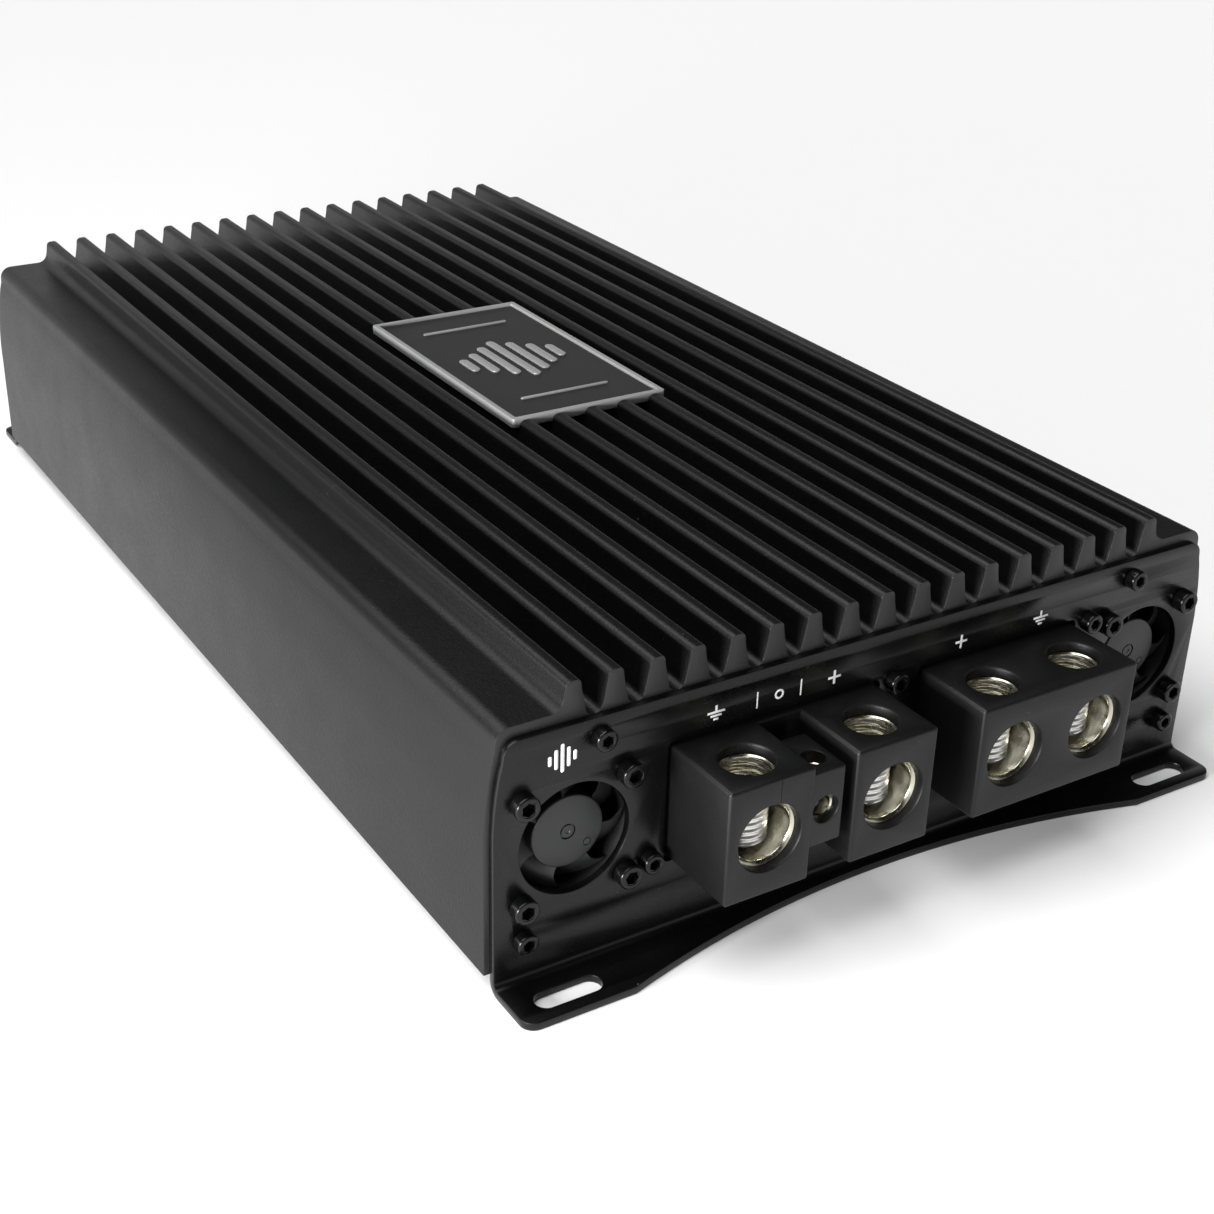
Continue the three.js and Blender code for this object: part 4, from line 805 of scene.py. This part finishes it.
def flared(radius, depth, lip=0.45):
    """Hole cutter about local Z, its rounded mouth at z 0."""
    profile = [(0, -depth), (radius, -depth)]
    profile += [(radius + lip - lip * math.cos(a), -lip + lip * math.sin(a))
                for a in map(math.radians, (0, 30, 60, 90))]
    profile += [(radius + lip + 0.05, 1), (0, 1)]
    return lathe("hole", profile, 64)


def insert_room(x):
    """Cutters for one insert: its chamber, the cable mouth and the key hole."""
    chamber = box_mesh("chamber", (x - ROOM_HALF, -INSERT_FACE, INSERT_LOW),
                       (x + ROOM_HALF, -END + 4, INSERT_HIGH + 0.15))
    mouth = along_y(flared(MOUTH_R, 2.5), x, -BLOCK_FACE, CABLE_Z)
    key = moved(flared(KEY_R, 2.9), x, -CLAMP_Y, BLOCK_HIGH_Z)
    return [chamber, mouth, key]


def ear_parts(x, z, edge):
    """Screw ear of a block: a disc about the screw and the neck that joins it to the block."""
    disc = along_y(lathe("ear", [(0, -3), (2.2, -3), (2.4, -2.8), (2.4, -0.2), (2.2, 0), (0, 0)],
                         32), x, -END, z)
    neck = box_mesh("neck", (min(x, edge), -END, z - 2.39), (max(x, edge), -END + 2.99, z + 2.39))
    return [disc, neck]


def ear_hole(x, z):
    return along_y(lathe("ear_hole", [(0, -5), (1.5, -5), (1.5, 2), (0, 2)], 24), x, -END, z)


def block(left, right, low=BLOCK_LOW_Z, high=BLOCK_HIGH_Z, face=BLOCK_FACE, back=END - 0.5):
    return box_mesh("block", (left, -face, low), (right, -back, high), 0.75, 3)


def inner_rim(span):
    return box_mesh("rim", (span[0] - FLANGE_LIP, -END, BLOCK_LOW_Z - 2.8),
                    (span[1] + FLANGE_LIP, -END + 3, BLOCK_HIGH_Z + 2.8), 0.25, 1)


def pair_housing(span, low_ear, high_ear):
    """One block with two cable terminals side by side."""
    left, right = span
    solid = combine(block(left, right),
                    [inner_rim(span)] + ear_parts(*low_ear, left) + ear_parts(*high_ear, right),
                    "UNION")
    middle = (left + right) / 2
    tools = insert_room(middle - PAIR_HALF) + insert_room(middle + PAIR_HALF)
    return combine(solid, tools + [ear_hole(*low_ear), ear_hole(*high_ear)])


ground_x = LEFT_SPAN[0] + CUBE / 2
plus_x = LEFT_SPAN[1] - CUBE / 2
remote_left = LEFT_SPAN[0] + CUBE
remote_right = remote_left + 7.8
remote_x = remote_left + 3.3
REMOTE_Z = 35.05
REMOTE_TOP = 44.3
REMOTE_BOTTOM = 26.7
REMOTE_BACK = FACE + 5.9
REMOTE_SCREW_Y = BLOCK_FACE - 5.7


def left_housing():
    """Two single cubes with the small turn-on block between them."""
    left, right = LEFT_SPAN
    low_ear = screw_centre("terminal_screw_lower_left")
    high_ear = screw_centre("terminal_screw_upper_left")
    web = box_mesh("web", (left + 1, -FACE - 0.8, BLOCK_LOW_Z),
                   (right - 1, -END + 3, BLOCK_HIGH_Z), 0.2, 1)
    tower = block(remote_left - 4, remote_right, REMOTE_BOTTOM, REMOTE_TOP, BLOCK_FACE - 0.3,
                  REMOTE_BACK)
    step = box_mesh("step", (remote_left - 1, -REMOTE_BACK - 1, REMOTE_BOTTOM + 1),
                    (remote_right - 1, -END, 38), 0.2, 1)
    solid = combine(block(left, left + CUBE),
                    [block(right - CUBE, right), inner_rim(LEFT_SPAN), web, tower, step]
                    + ear_parts(*low_ear, left) + ear_parts(*high_ear, right), "UNION")
    chamber = box_mesh("chamber", (remote_x - 3.2, -INSERT_FACE - 0.1, 30.4),
                       (remote_x + 3.2, -REMOTE_BACK - 1, 41.75))
    duct = box_mesh("duct", (remote_x - 1.65, -REMOTE_BACK - 2, 30.4),
                    (remote_x + 1.65, -END + 4, 32.8))
    mouth = along_y(flared(3.15, 2.4, 0.25), remote_x, -BLOCK_FACE + 0.3, REMOTE_Z)
    key = moved(flared(2.6, 3.1, 0.2), remote_x, -REMOTE_SCREW_Y, REMOTE_TOP)
    seam = box_mesh("seam", (ground_x + 1.8, -BLOCK_FACE - 1, CABLE_Z + 6),
                    (ground_x + 1.92, -BLOCK_FACE + 0.08, BLOCK_HIGH_Z + 1))
    tools = insert_room(ground_x) + insert_room(plus_x)
    return combine(solid, tools + [chamber, duct, mouth, key, seam,
                                   ear_hole(*low_ear), ear_hole(*high_ear)])


show("power_block_left", left_housing(), "moulded_black", nodes=["power_housing_left"], smooth=30)
show("power_block_right",
     pair_housing(RIGHT_SPAN, screw_centre("terminal_screw_lower_right"),
                  screw_centre("terminal_screw_upper_right")),
     "moulded_black", nodes=["power_housing_right"], smooth=30)
show("speaker_block", to_rear(pair_housing(SPEAKER_SPAN, *SPEAKER_SCREWS)), "moulded_black",
     nodes=["speaker_housing"], smooth=30)


# ---- inserts and clamp screws
def thread_wave(z, angle, pitch):
    """Height of the thread, 0 to 1, with flats at its crest and root."""
    share = (z / pitch - angle / TURN) % 1.0
    return min(1.0, max(0.0, 1.25 * (1 - abs(2 * share - 1)) - 0.125))


def threaded(name, low, high, pitch, radius, segments=64, per_turn=10):
    """Closed solid about local Z whose radius is a function of height and thread wave."""
    rows = max(2, round((high - low) / (pitch / per_turn)))
    verts, faces = [], []
    for i in range(rows + 1):
        z = low + (high - low) * i / rows
        for k in range(segments):
            a = TURN * k / segments
            r = radius(z, thread_wave(z, a, pitch))
            verts.append((r * math.cos(a), r * math.sin(a), z))
    for i in range(rows):
        for k in range(segments):
            j = (k + 1) % segments
            faces.append((i * segments + k, i * segments + j,
                          (i + 1) * segments + j, (i + 1) * segments + k))
    faces.append(tuple(range(segments))[::-1])
    faces.append(tuple(rows * segments + k for k in range(segments)))
    return mesh_of(name, verts, faces)


def tapped_hole(x, y, low, high, radius, depth, pitch, lead):
    """Threaded cutter with a countersink of width lead at its top."""
    def wall(z, wave):
        sink = max(0.0, z - (high - lead))
        return max(radius + depth * wave, radius + sink)
    return moved(threaded("tap", low, high + 0.3, pitch, wall), x, y)


def insert(body, shelf, leg, soft, bore, face, height, tap):
    """Plated block with a shelf and a leg down to the board, a cable bore and a tapped hole."""
    solid = combine(box_mesh("insert", *body, soft[0], 1),
                    [box_mesh("shelf", *shelf, soft[1], 1), box_mesh("leg", *leg, soft[1], 1)],
                    "UNION")
    middle = (body[0][0] + body[1][0]) / 2
    return combine(solid, [along_y(bore, middle, face, height), tap])


def cable_insert(x):
    rim = CABLE_R + 0.75
    bore = lathe("bore", [(0, -19), (CABLE_R, -17), (CABLE_R, -0.85), (CABLE_R + 0.2, -0.5),
                          (CABLE_R + 0.55, -0.15), (rim, 0), (rim, 1), (0, 1)], 72)
    return insert(((x - INSERT_HALF, -INSERT_FACE, INSERT_LOW),
                   (x + INSERT_HALF, -END, INSERT_HIGH)),
                  ((x - 4, -END - 1, INSERT_LOW), (x + 4, -END + 11, INSERT_LOW + 3)),
                  ((x - 3.9, -END + 8, 10.1), (x + 3.9, -END + 10.9, INSERT_LOW + 1)),
                  (0.25, 0.2), bore, -INSERT_FACE, CABLE_Z,
                  tapped_hole(x, -CLAMP_Y, CABLE_Z, INSERT_HIGH, 5.2, 0.34, 1.5, 0.5))


def remote_insert():
    x = remote_x
    bore = lathe("bore", [(0, -10.5), (2.4, -9.5), (2.4, -0.3), (2.7, 0), (2.7, 1), (0, 1)])
    return insert(((x - 3.05, -INSERT_FACE - 0.1, 30.4), (x + 3.05, -REMOTE_BACK - 1, 41.6)),
                  ((x - 1.5, -REMOTE_BACK - 2, 30.4), (x + 1.5, -END + 11, 32.4)),
                  ((x - 1.45, -END + 9, 10.1), (x + 1.45, -END + 10.9, 31.4)),
                  (0.15, 0.1), bore, -INSERT_FACE - 0.1, REMOTE_Z,
                  tapped_hole(x, -REMOTE_SCREW_Y, REMOTE_Z, 41.6, 2.2, 0.25, 0.7, 0.2))


def clamp_screw(x, y, tip, radius, length, pitch, depth):
    """Headless screw with a hexagon socket, standing on its tip."""
    chamfer = 0.2 * radius

    def wall(z, wave):
        end = min(radius - chamfer + (z - tip), radius - 0.4 + (tip + length - z))
        return min(radius - depth + depth * wave, end)

    body = threaded("clamp", tip, tip + length, pitch, wall)
    corner = 0.52 * radius / math.cos(math.pi / 6)
    deep = 0.45 * length
    socket = lathe("socket", [(0, 0), (corner, 0), (corner, deep + 1), (0, deep + 1)], 6)
    return moved(combine(body, [moved(socket, z=tip + length - deep)]), x, y)


CLAMP_TIP = CABLE_Z - CABLE_R + 1.5


def show_terminal(label, made_insert, screw, insert_name="terminal_insert_", turned=False):
    """An insert and the clamp screw that runs in it; the rear ones are made at the front."""
    turn = to_rear if turned else (lambda mesh: mesh)
    node = ("speaker_" if turned else "") + label
    show(insert_name + label, turn(made_insert), "plated_metal", nodes=["insert_" + node],
         smooth=30)
    show("grub_screw_" + node, turn(screw), "plated_screw", body="clamp_screw_" + node,
         nodes=["clamp_screw_" + node], smooth=50)


def cable_screw(x):
    return clamp_screw(x, -CLAMP_Y, CLAMP_TIP, 4.9, 11, 1.5, 0.42)


def middle_x(node):
    return screw_centre(node)[0]


for label in ("ground_left", "plus_left", "plus_right", "ground_right"):
    x = middle_x("clamp_screw_" + label)
    show_terminal(label, cable_insert(x), cable_screw(x))
show_terminal("remote", remote_insert(),
              clamp_screw(remote_x, -REMOTE_SCREW_Y, 33.5, 1.9, 6.5, 0.7, 0.3))
for label in ("plus", "minus"):
    x = -middle_x("clamp_screw_speaker_" + label)
    show_terminal(label, cable_insert(x), cable_screw(x), "speaker_insert_", True)


# ---- badge
BORDER = 1.6
FIELD_DROP = 0.7
FIELD_LAP = BORDER - 0.3
BAR_HEIGHTS = (9, 15, 22, 28, 22, 15, 9)
BAR_PITCH = 4.4
BAR_HALF = 1.25
RULE_INSET = 13
badge_top = badge_high[2] - FIELD_DROP


def badge_frame():
    outlines = [rounded(badge_low[0] + inset, badge_high[0] - inset,
                        badge_low[1] + inset, badge_high[1] - inset, r, steps)
                for inset, r, steps in ((0, 0.8, 5), (BORDER, 0.35, 3))]
    mesh = plate_mesh("badge_border", outlines, badge_high[2] - badge_low[2], 0.25, 2)
    return moved(mesh, z=badge_low[2])


def badge_emblem():
    """A row of level bars between two rules, standing on the field."""
    reliefs = []
    for i, length in enumerate(BAR_HEIGHTS):
        x = (i - (len(BAR_HEIGHTS) - 1) / 2) * BAR_PITCH
        outline = rounded(x - BAR_HALF, x + BAR_HALF, -length / 2, length / 2, 1.2, 5)
        reliefs.append(plate_mesh("bar", [outline], 0.55, 0.15))
    for y in (badge_low[1] + RULE_INSET, badge_high[1] - RULE_INSET):
        outline = rounded(-RULE_INSET, RULE_INSET, y - 0.5, y + 0.5, 0.45, 3)
        reliefs.append(plate_mesh("rule", [outline], 0.5, 0.12))
    return [moved(mesh, z=badge_top - 0.1) for mesh in reliefs]


show("badge_border", badge_frame(), "badge_silver", nodes=["badge_plate"])
field = box_mesh("field",
                 (badge_low[0] + FIELD_LAP, badge_low[1] + FIELD_LAP, badge_low[2] + 0.3),
                 (badge_high[0] - FIELD_LAP, badge_high[1] - FIELD_LAP, badge_top))
show("badge_field", field, "badge_field", nodes=["badge_plate"])
for i, mesh in enumerate(badge_emblem()):
    show("badge_relief_%d" % i, mesh, "badge_silver", nodes=["badge_plate"])


# ---- screen print
PRINT = 0.05
PRINT_GAP = 0.005
SIGN_LINE = 0.27


def plus_outline(arm, half):
    quarter = [(half, -half), (arm, -half), (arm, half)]
    return [(x * c - y * d, x * d + y * c) for c, d in ((1, 0), (0, 1), (-1, 0), (0, -1))
            for x, y in quarter]


# Plain terminal signs about their own middle: earth, poles and control lead.
SIGNS = {
    "earth": [[(-2.1, -0.1), (2.1, -0.1), (2.1, 0.4), (0.25, 0.4), (0.25, 1.7), (-0.25, 1.7),
               (-0.25, 0.4), (-2.1, 0.4)],
              rounded(-1.35, 1.35, -0.9, -0.42, 0.05, 1),
              rounded(-0.6, 0.6, -1.7, -1.22, 0.05, 1)],
    "plus": [plus_outline(1.6, SIGN_LINE)],
    "minus": [rounded(-1.6, 1.6, -SIGN_LINE, SIGN_LINE, 0.05, 1)],
    "control": [circle(0, 0, 1.15, 24), circle(0, 0, 0.68, 24)[::-1]],
}


def show_print(name, outlines, x, z, rear=False, turn=0.0):
    """Thin white print on the outer face of the front or rear panel."""
    mesh = moved(plate_mesh("print", outlines, PRINT, 0.01), z=-PRINT / 2)
    out = FACE + PRINT / 2 + PRINT_GAP
    place = shift(x, out if rear else -out, z)
    if rear:
        place = place @ ABOUT_FACE
    mesh.transform(place @ STAND @ Matrix.Rotation(turn, 4, "Z"))
    show(name, mesh, "print_white")


MARKS = [("earth", -43.9, 51.0), ("control", -28.3, 50.9), ("plus", -14.2, 51.0),
         ("plus", 20.3, 50.3), ("earth", 43.3, 50.3)]
for i, (kind, x, z) in enumerate(MARKS):
    show_print("print_front_%d" % i, SIGNS[kind], x, z)
for i, x in enumerate((-33.8, -22.8)):
    show_print("print_rule_%d" % i, [rounded(-0.16, 0.16, 0, 3.8, 0.05, 1)], x, 49.1)
for i, height in enumerate((2.2, 4.4, 6.4, 4.4, 2.2)):
    show_print("print_bars_%d" % i, [rounded(-0.4, 0.4, -height / 2, height / 2, 0.35, 4)],
               -79.5 + 1.4 * (i - 2), 51.2)


# ---- rear fittings
def rear_face(mesh, x, z):
    return along_y(mesh, x, END, z, 1)


BARREL = [(2.6, 1.0), (4.7, 1.0), (4.7, 3.0), (4.2, 3.1), (4.2, 9.3), (3.8, 9.8), (3.4, 9.8),
          (3.3, 9.6), (3.3, 3.5), (2.6, 3.5), (2.6, 1.0)]
CORE = [(0, 0.9), (3.28, 0.9), (3.28, 8.7), (3.0, 9.0), (1.95, 9.0), (1.7, 8.75), (1.7, 2), (0, 2)]
jack_low, jack_high = corners("rca_jack_block")
show("jack_body", box_mesh("jack_body", jack_low, (jack_high[0], END - 0.3, jack_high[2]), 0.5),
     "moulded_black", nodes=["rca_jack_block"])
for x, color in JACK_SPOTS:
    show("jack_barrel_" + color, rear_face(lathe("barrel", BARREL), x, JACK_Z), "jack_nickel",
         nodes=["rca_jack_block"], smooth=30)
    show("jack_ring_" + color, rear_face(lathe("core", CORE, 40), x, JACK_Z), "jack_" + color,
         nodes=["rca_jack_block"], smooth=30)


FLUTES = 18


def knob(x):
    """Trimmer knob with a fluted rim and a screwdriver slot with a pointer end."""
    profile = [(0, -2.4), (3.2, -2.4), (3.2, 6.3), (3.06, 6.6), (2.8, 6.8), (0, 6.8)]
    flutes = [moved(lathe("flute", [(0, 2.2), (0.28, 2.2), (0.28, 8), (0, 8)], 10), fx, fy)
              for fx, fy in circle(0, 0, 3.3, FLUTES)]
    slot = box_mesh("slot", (-0.45, -2.1, 5.6), (0.45, 2.5, 8))
    return rear_face(combine(lathe("knob", profile, 72), flutes + [slot]), x, KNOB_Z)


for node in KNOBS:
    show("trim_" + node, knob(middle_x(node)), "knob_plastic", body=node, nodes=[node], smooth=30)


PORT_WALL = 1.8
CONTACT_PITCH = 1.27
port_x = (port_low[0] + port_high[0]) / 2


def control_port():
    """Modular socket: a box with its room and the notch for the plug's latch."""
    back, front = port_low[1], port_high[1]
    body = box_mesh("port", port_low, port_high, 0.3)
    room = box_mesh("room", (port_low[0] + PORT_WALL, back + 2, port_low[2] + PORT_WALL),
                    (port_high[0] - PORT_WALL, front + 2, port_high[2] - PORT_WALL))
    notch = box_mesh("notch", (port_x - 1.6, back + 4, port_low[2] + 0.7),
                     (port_x + 1.6, front + 2, port_low[2] + 3))
    return combine(body, [room, notch])


show("control_port", control_port(), "moulded_black", nodes=["bass_control_socket"])
for i in range(6):
    x = port_x + (i - 2.5) * CONTACT_PITCH
    contact = box_mesh("contact", (x - 0.2, port_low[1] + 1.9, port_high[2] - 3.2),
                       (x + 0.2, port_high[1] - 2.2, port_high[2] - 2.9), 0.05, 1)
    show("port_contact_%d" % i, contact, "plated_metal",
         nodes=["bass_control_socket"])

lamp_back, lamp_front = lamp_low[1] - END, lamp_high[1] - END
LENS = [(0, lamp_back), (1.6, lamp_back), (1.6, lamp_front - 0.9), (1.45, lamp_front - 0.35),
        (1.0, lamp_front - 0.08), (0, lamp_front)]
show("lamp_lens", rear_face(lathe("lamp", LENS, 32), lamp_x, lamp_z), "clear_lamp",
     nodes=["status_lamp"])

for k, node in enumerate(KNOBS):
    for i in range(11):
        show_print("print_tick_%d_%d" % (k, i),
                   [[(4.3, -0.11), (5.0, -0.11), (5.0, 0.11), (4.3, 0.11)]],
                   middle_x(node), KNOB_Z, True, math.radians(-60 + 30 * i))
for label in ("plus", "minus"):
    show_print("print_pole_" + label, SIGNS[label], middle_x("insert_speaker_" + label), 50.9,
               True)


# ---- underside and inside
cover_low, cover_high = corners("bottom_cover")
cover_spots = [(side * (cover_high[0] - 5.2), share * END) for side in (-1, 1)
               for share in (-0.82, -0.28, 0.28, 0.82)]
SINK = [(0, -1), (2.7, -1), (2.7, 0.02), (1.4, 1.3), (1.4, 3), (0, 3)]
FLAT_SCREW = [(0, 0.08), (2.45, 0.08), (2.55, 0.16), (1.3, 1.4), (1.3, 4.6), (0, 4.9)]
cover = box_mesh("cover", cover_low, cover_high, 0.2, 1)
sinks = [moved(lathe("sink", SINK, 32), x, y, cover_low[2]) for x, y in cover_spots]
show("underside_cover", combine(cover, sinks), "coated_sheet", nodes=["bottom_cover"])
for i, (x, y) in enumerate(cover_spots):
    slots = [box_mesh("slot", (-a, -b, -1), (a, b, 0.9)) for a, b in ((1.4, 0.3), (0.3, 1.4))]
    screw = combine(lathe("flat_screw", FLAT_SCREW, 32), slots)
    show("cover_screw_%d" % i, moved(screw, x, y, cover_low[2]), "black_oxide",
         nodes=["bottom_cover"], smooth=30)

KEPT = {"control_board": "circuit_board", "main_circuit_board": "circuit_board",
        "toroid_transformer_left": "winding", "toroid_transformer_right": "winding",
        "transistor_bar_left": "bare_aluminium", "transistor_bar_right": "bare_aluminium",
        "capacitor_bank": "capacitor_sleeve"}
for node, material in KEPT.items():
    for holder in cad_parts[node].material_slots:
        holder.material = MAT[material]


# ---- floor, light and camera, in metres
box_low, box_high = (Vector(corner) for corner in cad_bounds)
middle = (box_low + box_high) / 2
floor_half = 60 * (box_high - box_low).length
floor_mesh = bpy.data.meshes.new("floor")
floor_mesh.from_pydata([(x * floor_half, y * floor_half, 0)
                        for x, y in ((-1, -1), (1, -1), (1, 1), (-1, 1))], [], [(0, 1, 2, 3)])
floor_mesh.materials.append(make_material("floor_white", grey(0.86), 0.9, 0.02, 2.0,
                                          mottling=0.01, rough_spread=0.02))
floor = link("floor", floor_mesh)
floor.location.z = box_low.z - 0.05 * MM

# The sky is bright only near the horizon, so that the black finish stays black from above.
world = bpy.data.worlds.new("studio")
SCENE.world = world
world.use_nodes = True
sky = world.node_tree.nodes["Background"]
sky.inputs["Color"].default_value = (1.0, 1.0, 1.0, 1)
heading = world.node_tree.nodes.new("ShaderNodeTexCoord")
split = world.node_tree.nodes.new("ShaderNodeSeparateXYZ")
fade = add(world.node_tree, "MapRange", From_Min=math.sin(math.radians(9)),
           From_Max=math.sin(math.radians(30)), To_Min=0.7, To_Max=0.012)
fade.interpolation_type = "SMOOTHSTEP"
world.node_tree.links.new(heading.outputs["Generated"], split.inputs["Vector"])
world.node_tree.links.new(split.outputs["Z"], fade.inputs["Value"])
world.node_tree.links.new(fade.outputs["Result"], sky.inputs["Strength"])


def direction(azimuth, elevation):
    """Unit vector away from the object; azimuth 0 is in front of it and grows to its right."""
    a, e = math.radians(azimuth), math.radians(elevation)
    return Vector((math.sin(a) * math.cos(e), -math.cos(a) * math.cos(e), math.sin(e)))


def light(name, kind, azimuth, elevation, energy):
    """Light that shines towards the object from a direction."""
    data = bpy.data.lights.new(name, kind)
    data.energy = energy
    lamp = link(name, data)
    lamp.rotation_euler = (-direction(azimuth, elevation)).to_track_quat("-Z", "Y").to_euler()
    return lamp


even = light("even_left", "SUN", -112, 68, 3.4)
even.data.angle = math.radians(60)

near = light("near_left", "AREA", -78, 10, 6.0)
near.data.shape = "RECTANGLE"
near.data.size, near.data.size_y = 0.3, 0.1
near.location = Vector((box_low.x, box_low.y, middle.z)) + direction(-78, 10) * 0.45

# The camera looks at a point beside the middle of the object, as the photograph is framed.
CAMERA_AZIMUTH = -32.37
CAMERA_ELEVATION = 27.3
CAMERA_ROLL = 1.56
CAMERA_DISTANCE_MM = 534.3
AIM_OFFSET_MM = (13.8, -29.0, -33.2)

camera_data = bpy.data.cameras.new("camera")
camera_data.sensor_width = 36
camera_data.lens = 57.03
camera_data.clip_start = 0.01
camera_data.clip_end = 200
camera = link("camera", camera_data)
outward = direction(CAMERA_AZIMUTH, CAMERA_ELEVATION)
camera.location = middle + (Vector(AIM_OFFSET_MM) + outward * CAMERA_DISTANCE_MM) * MM
facing = (-outward).to_track_quat("-Z", "Y").to_matrix().to_4x4()
camera.rotation_euler = (facing @ Matrix.Rotation(math.radians(CAMERA_ROLL), 4, "Z")).to_euler()
SCENE.camera = camera
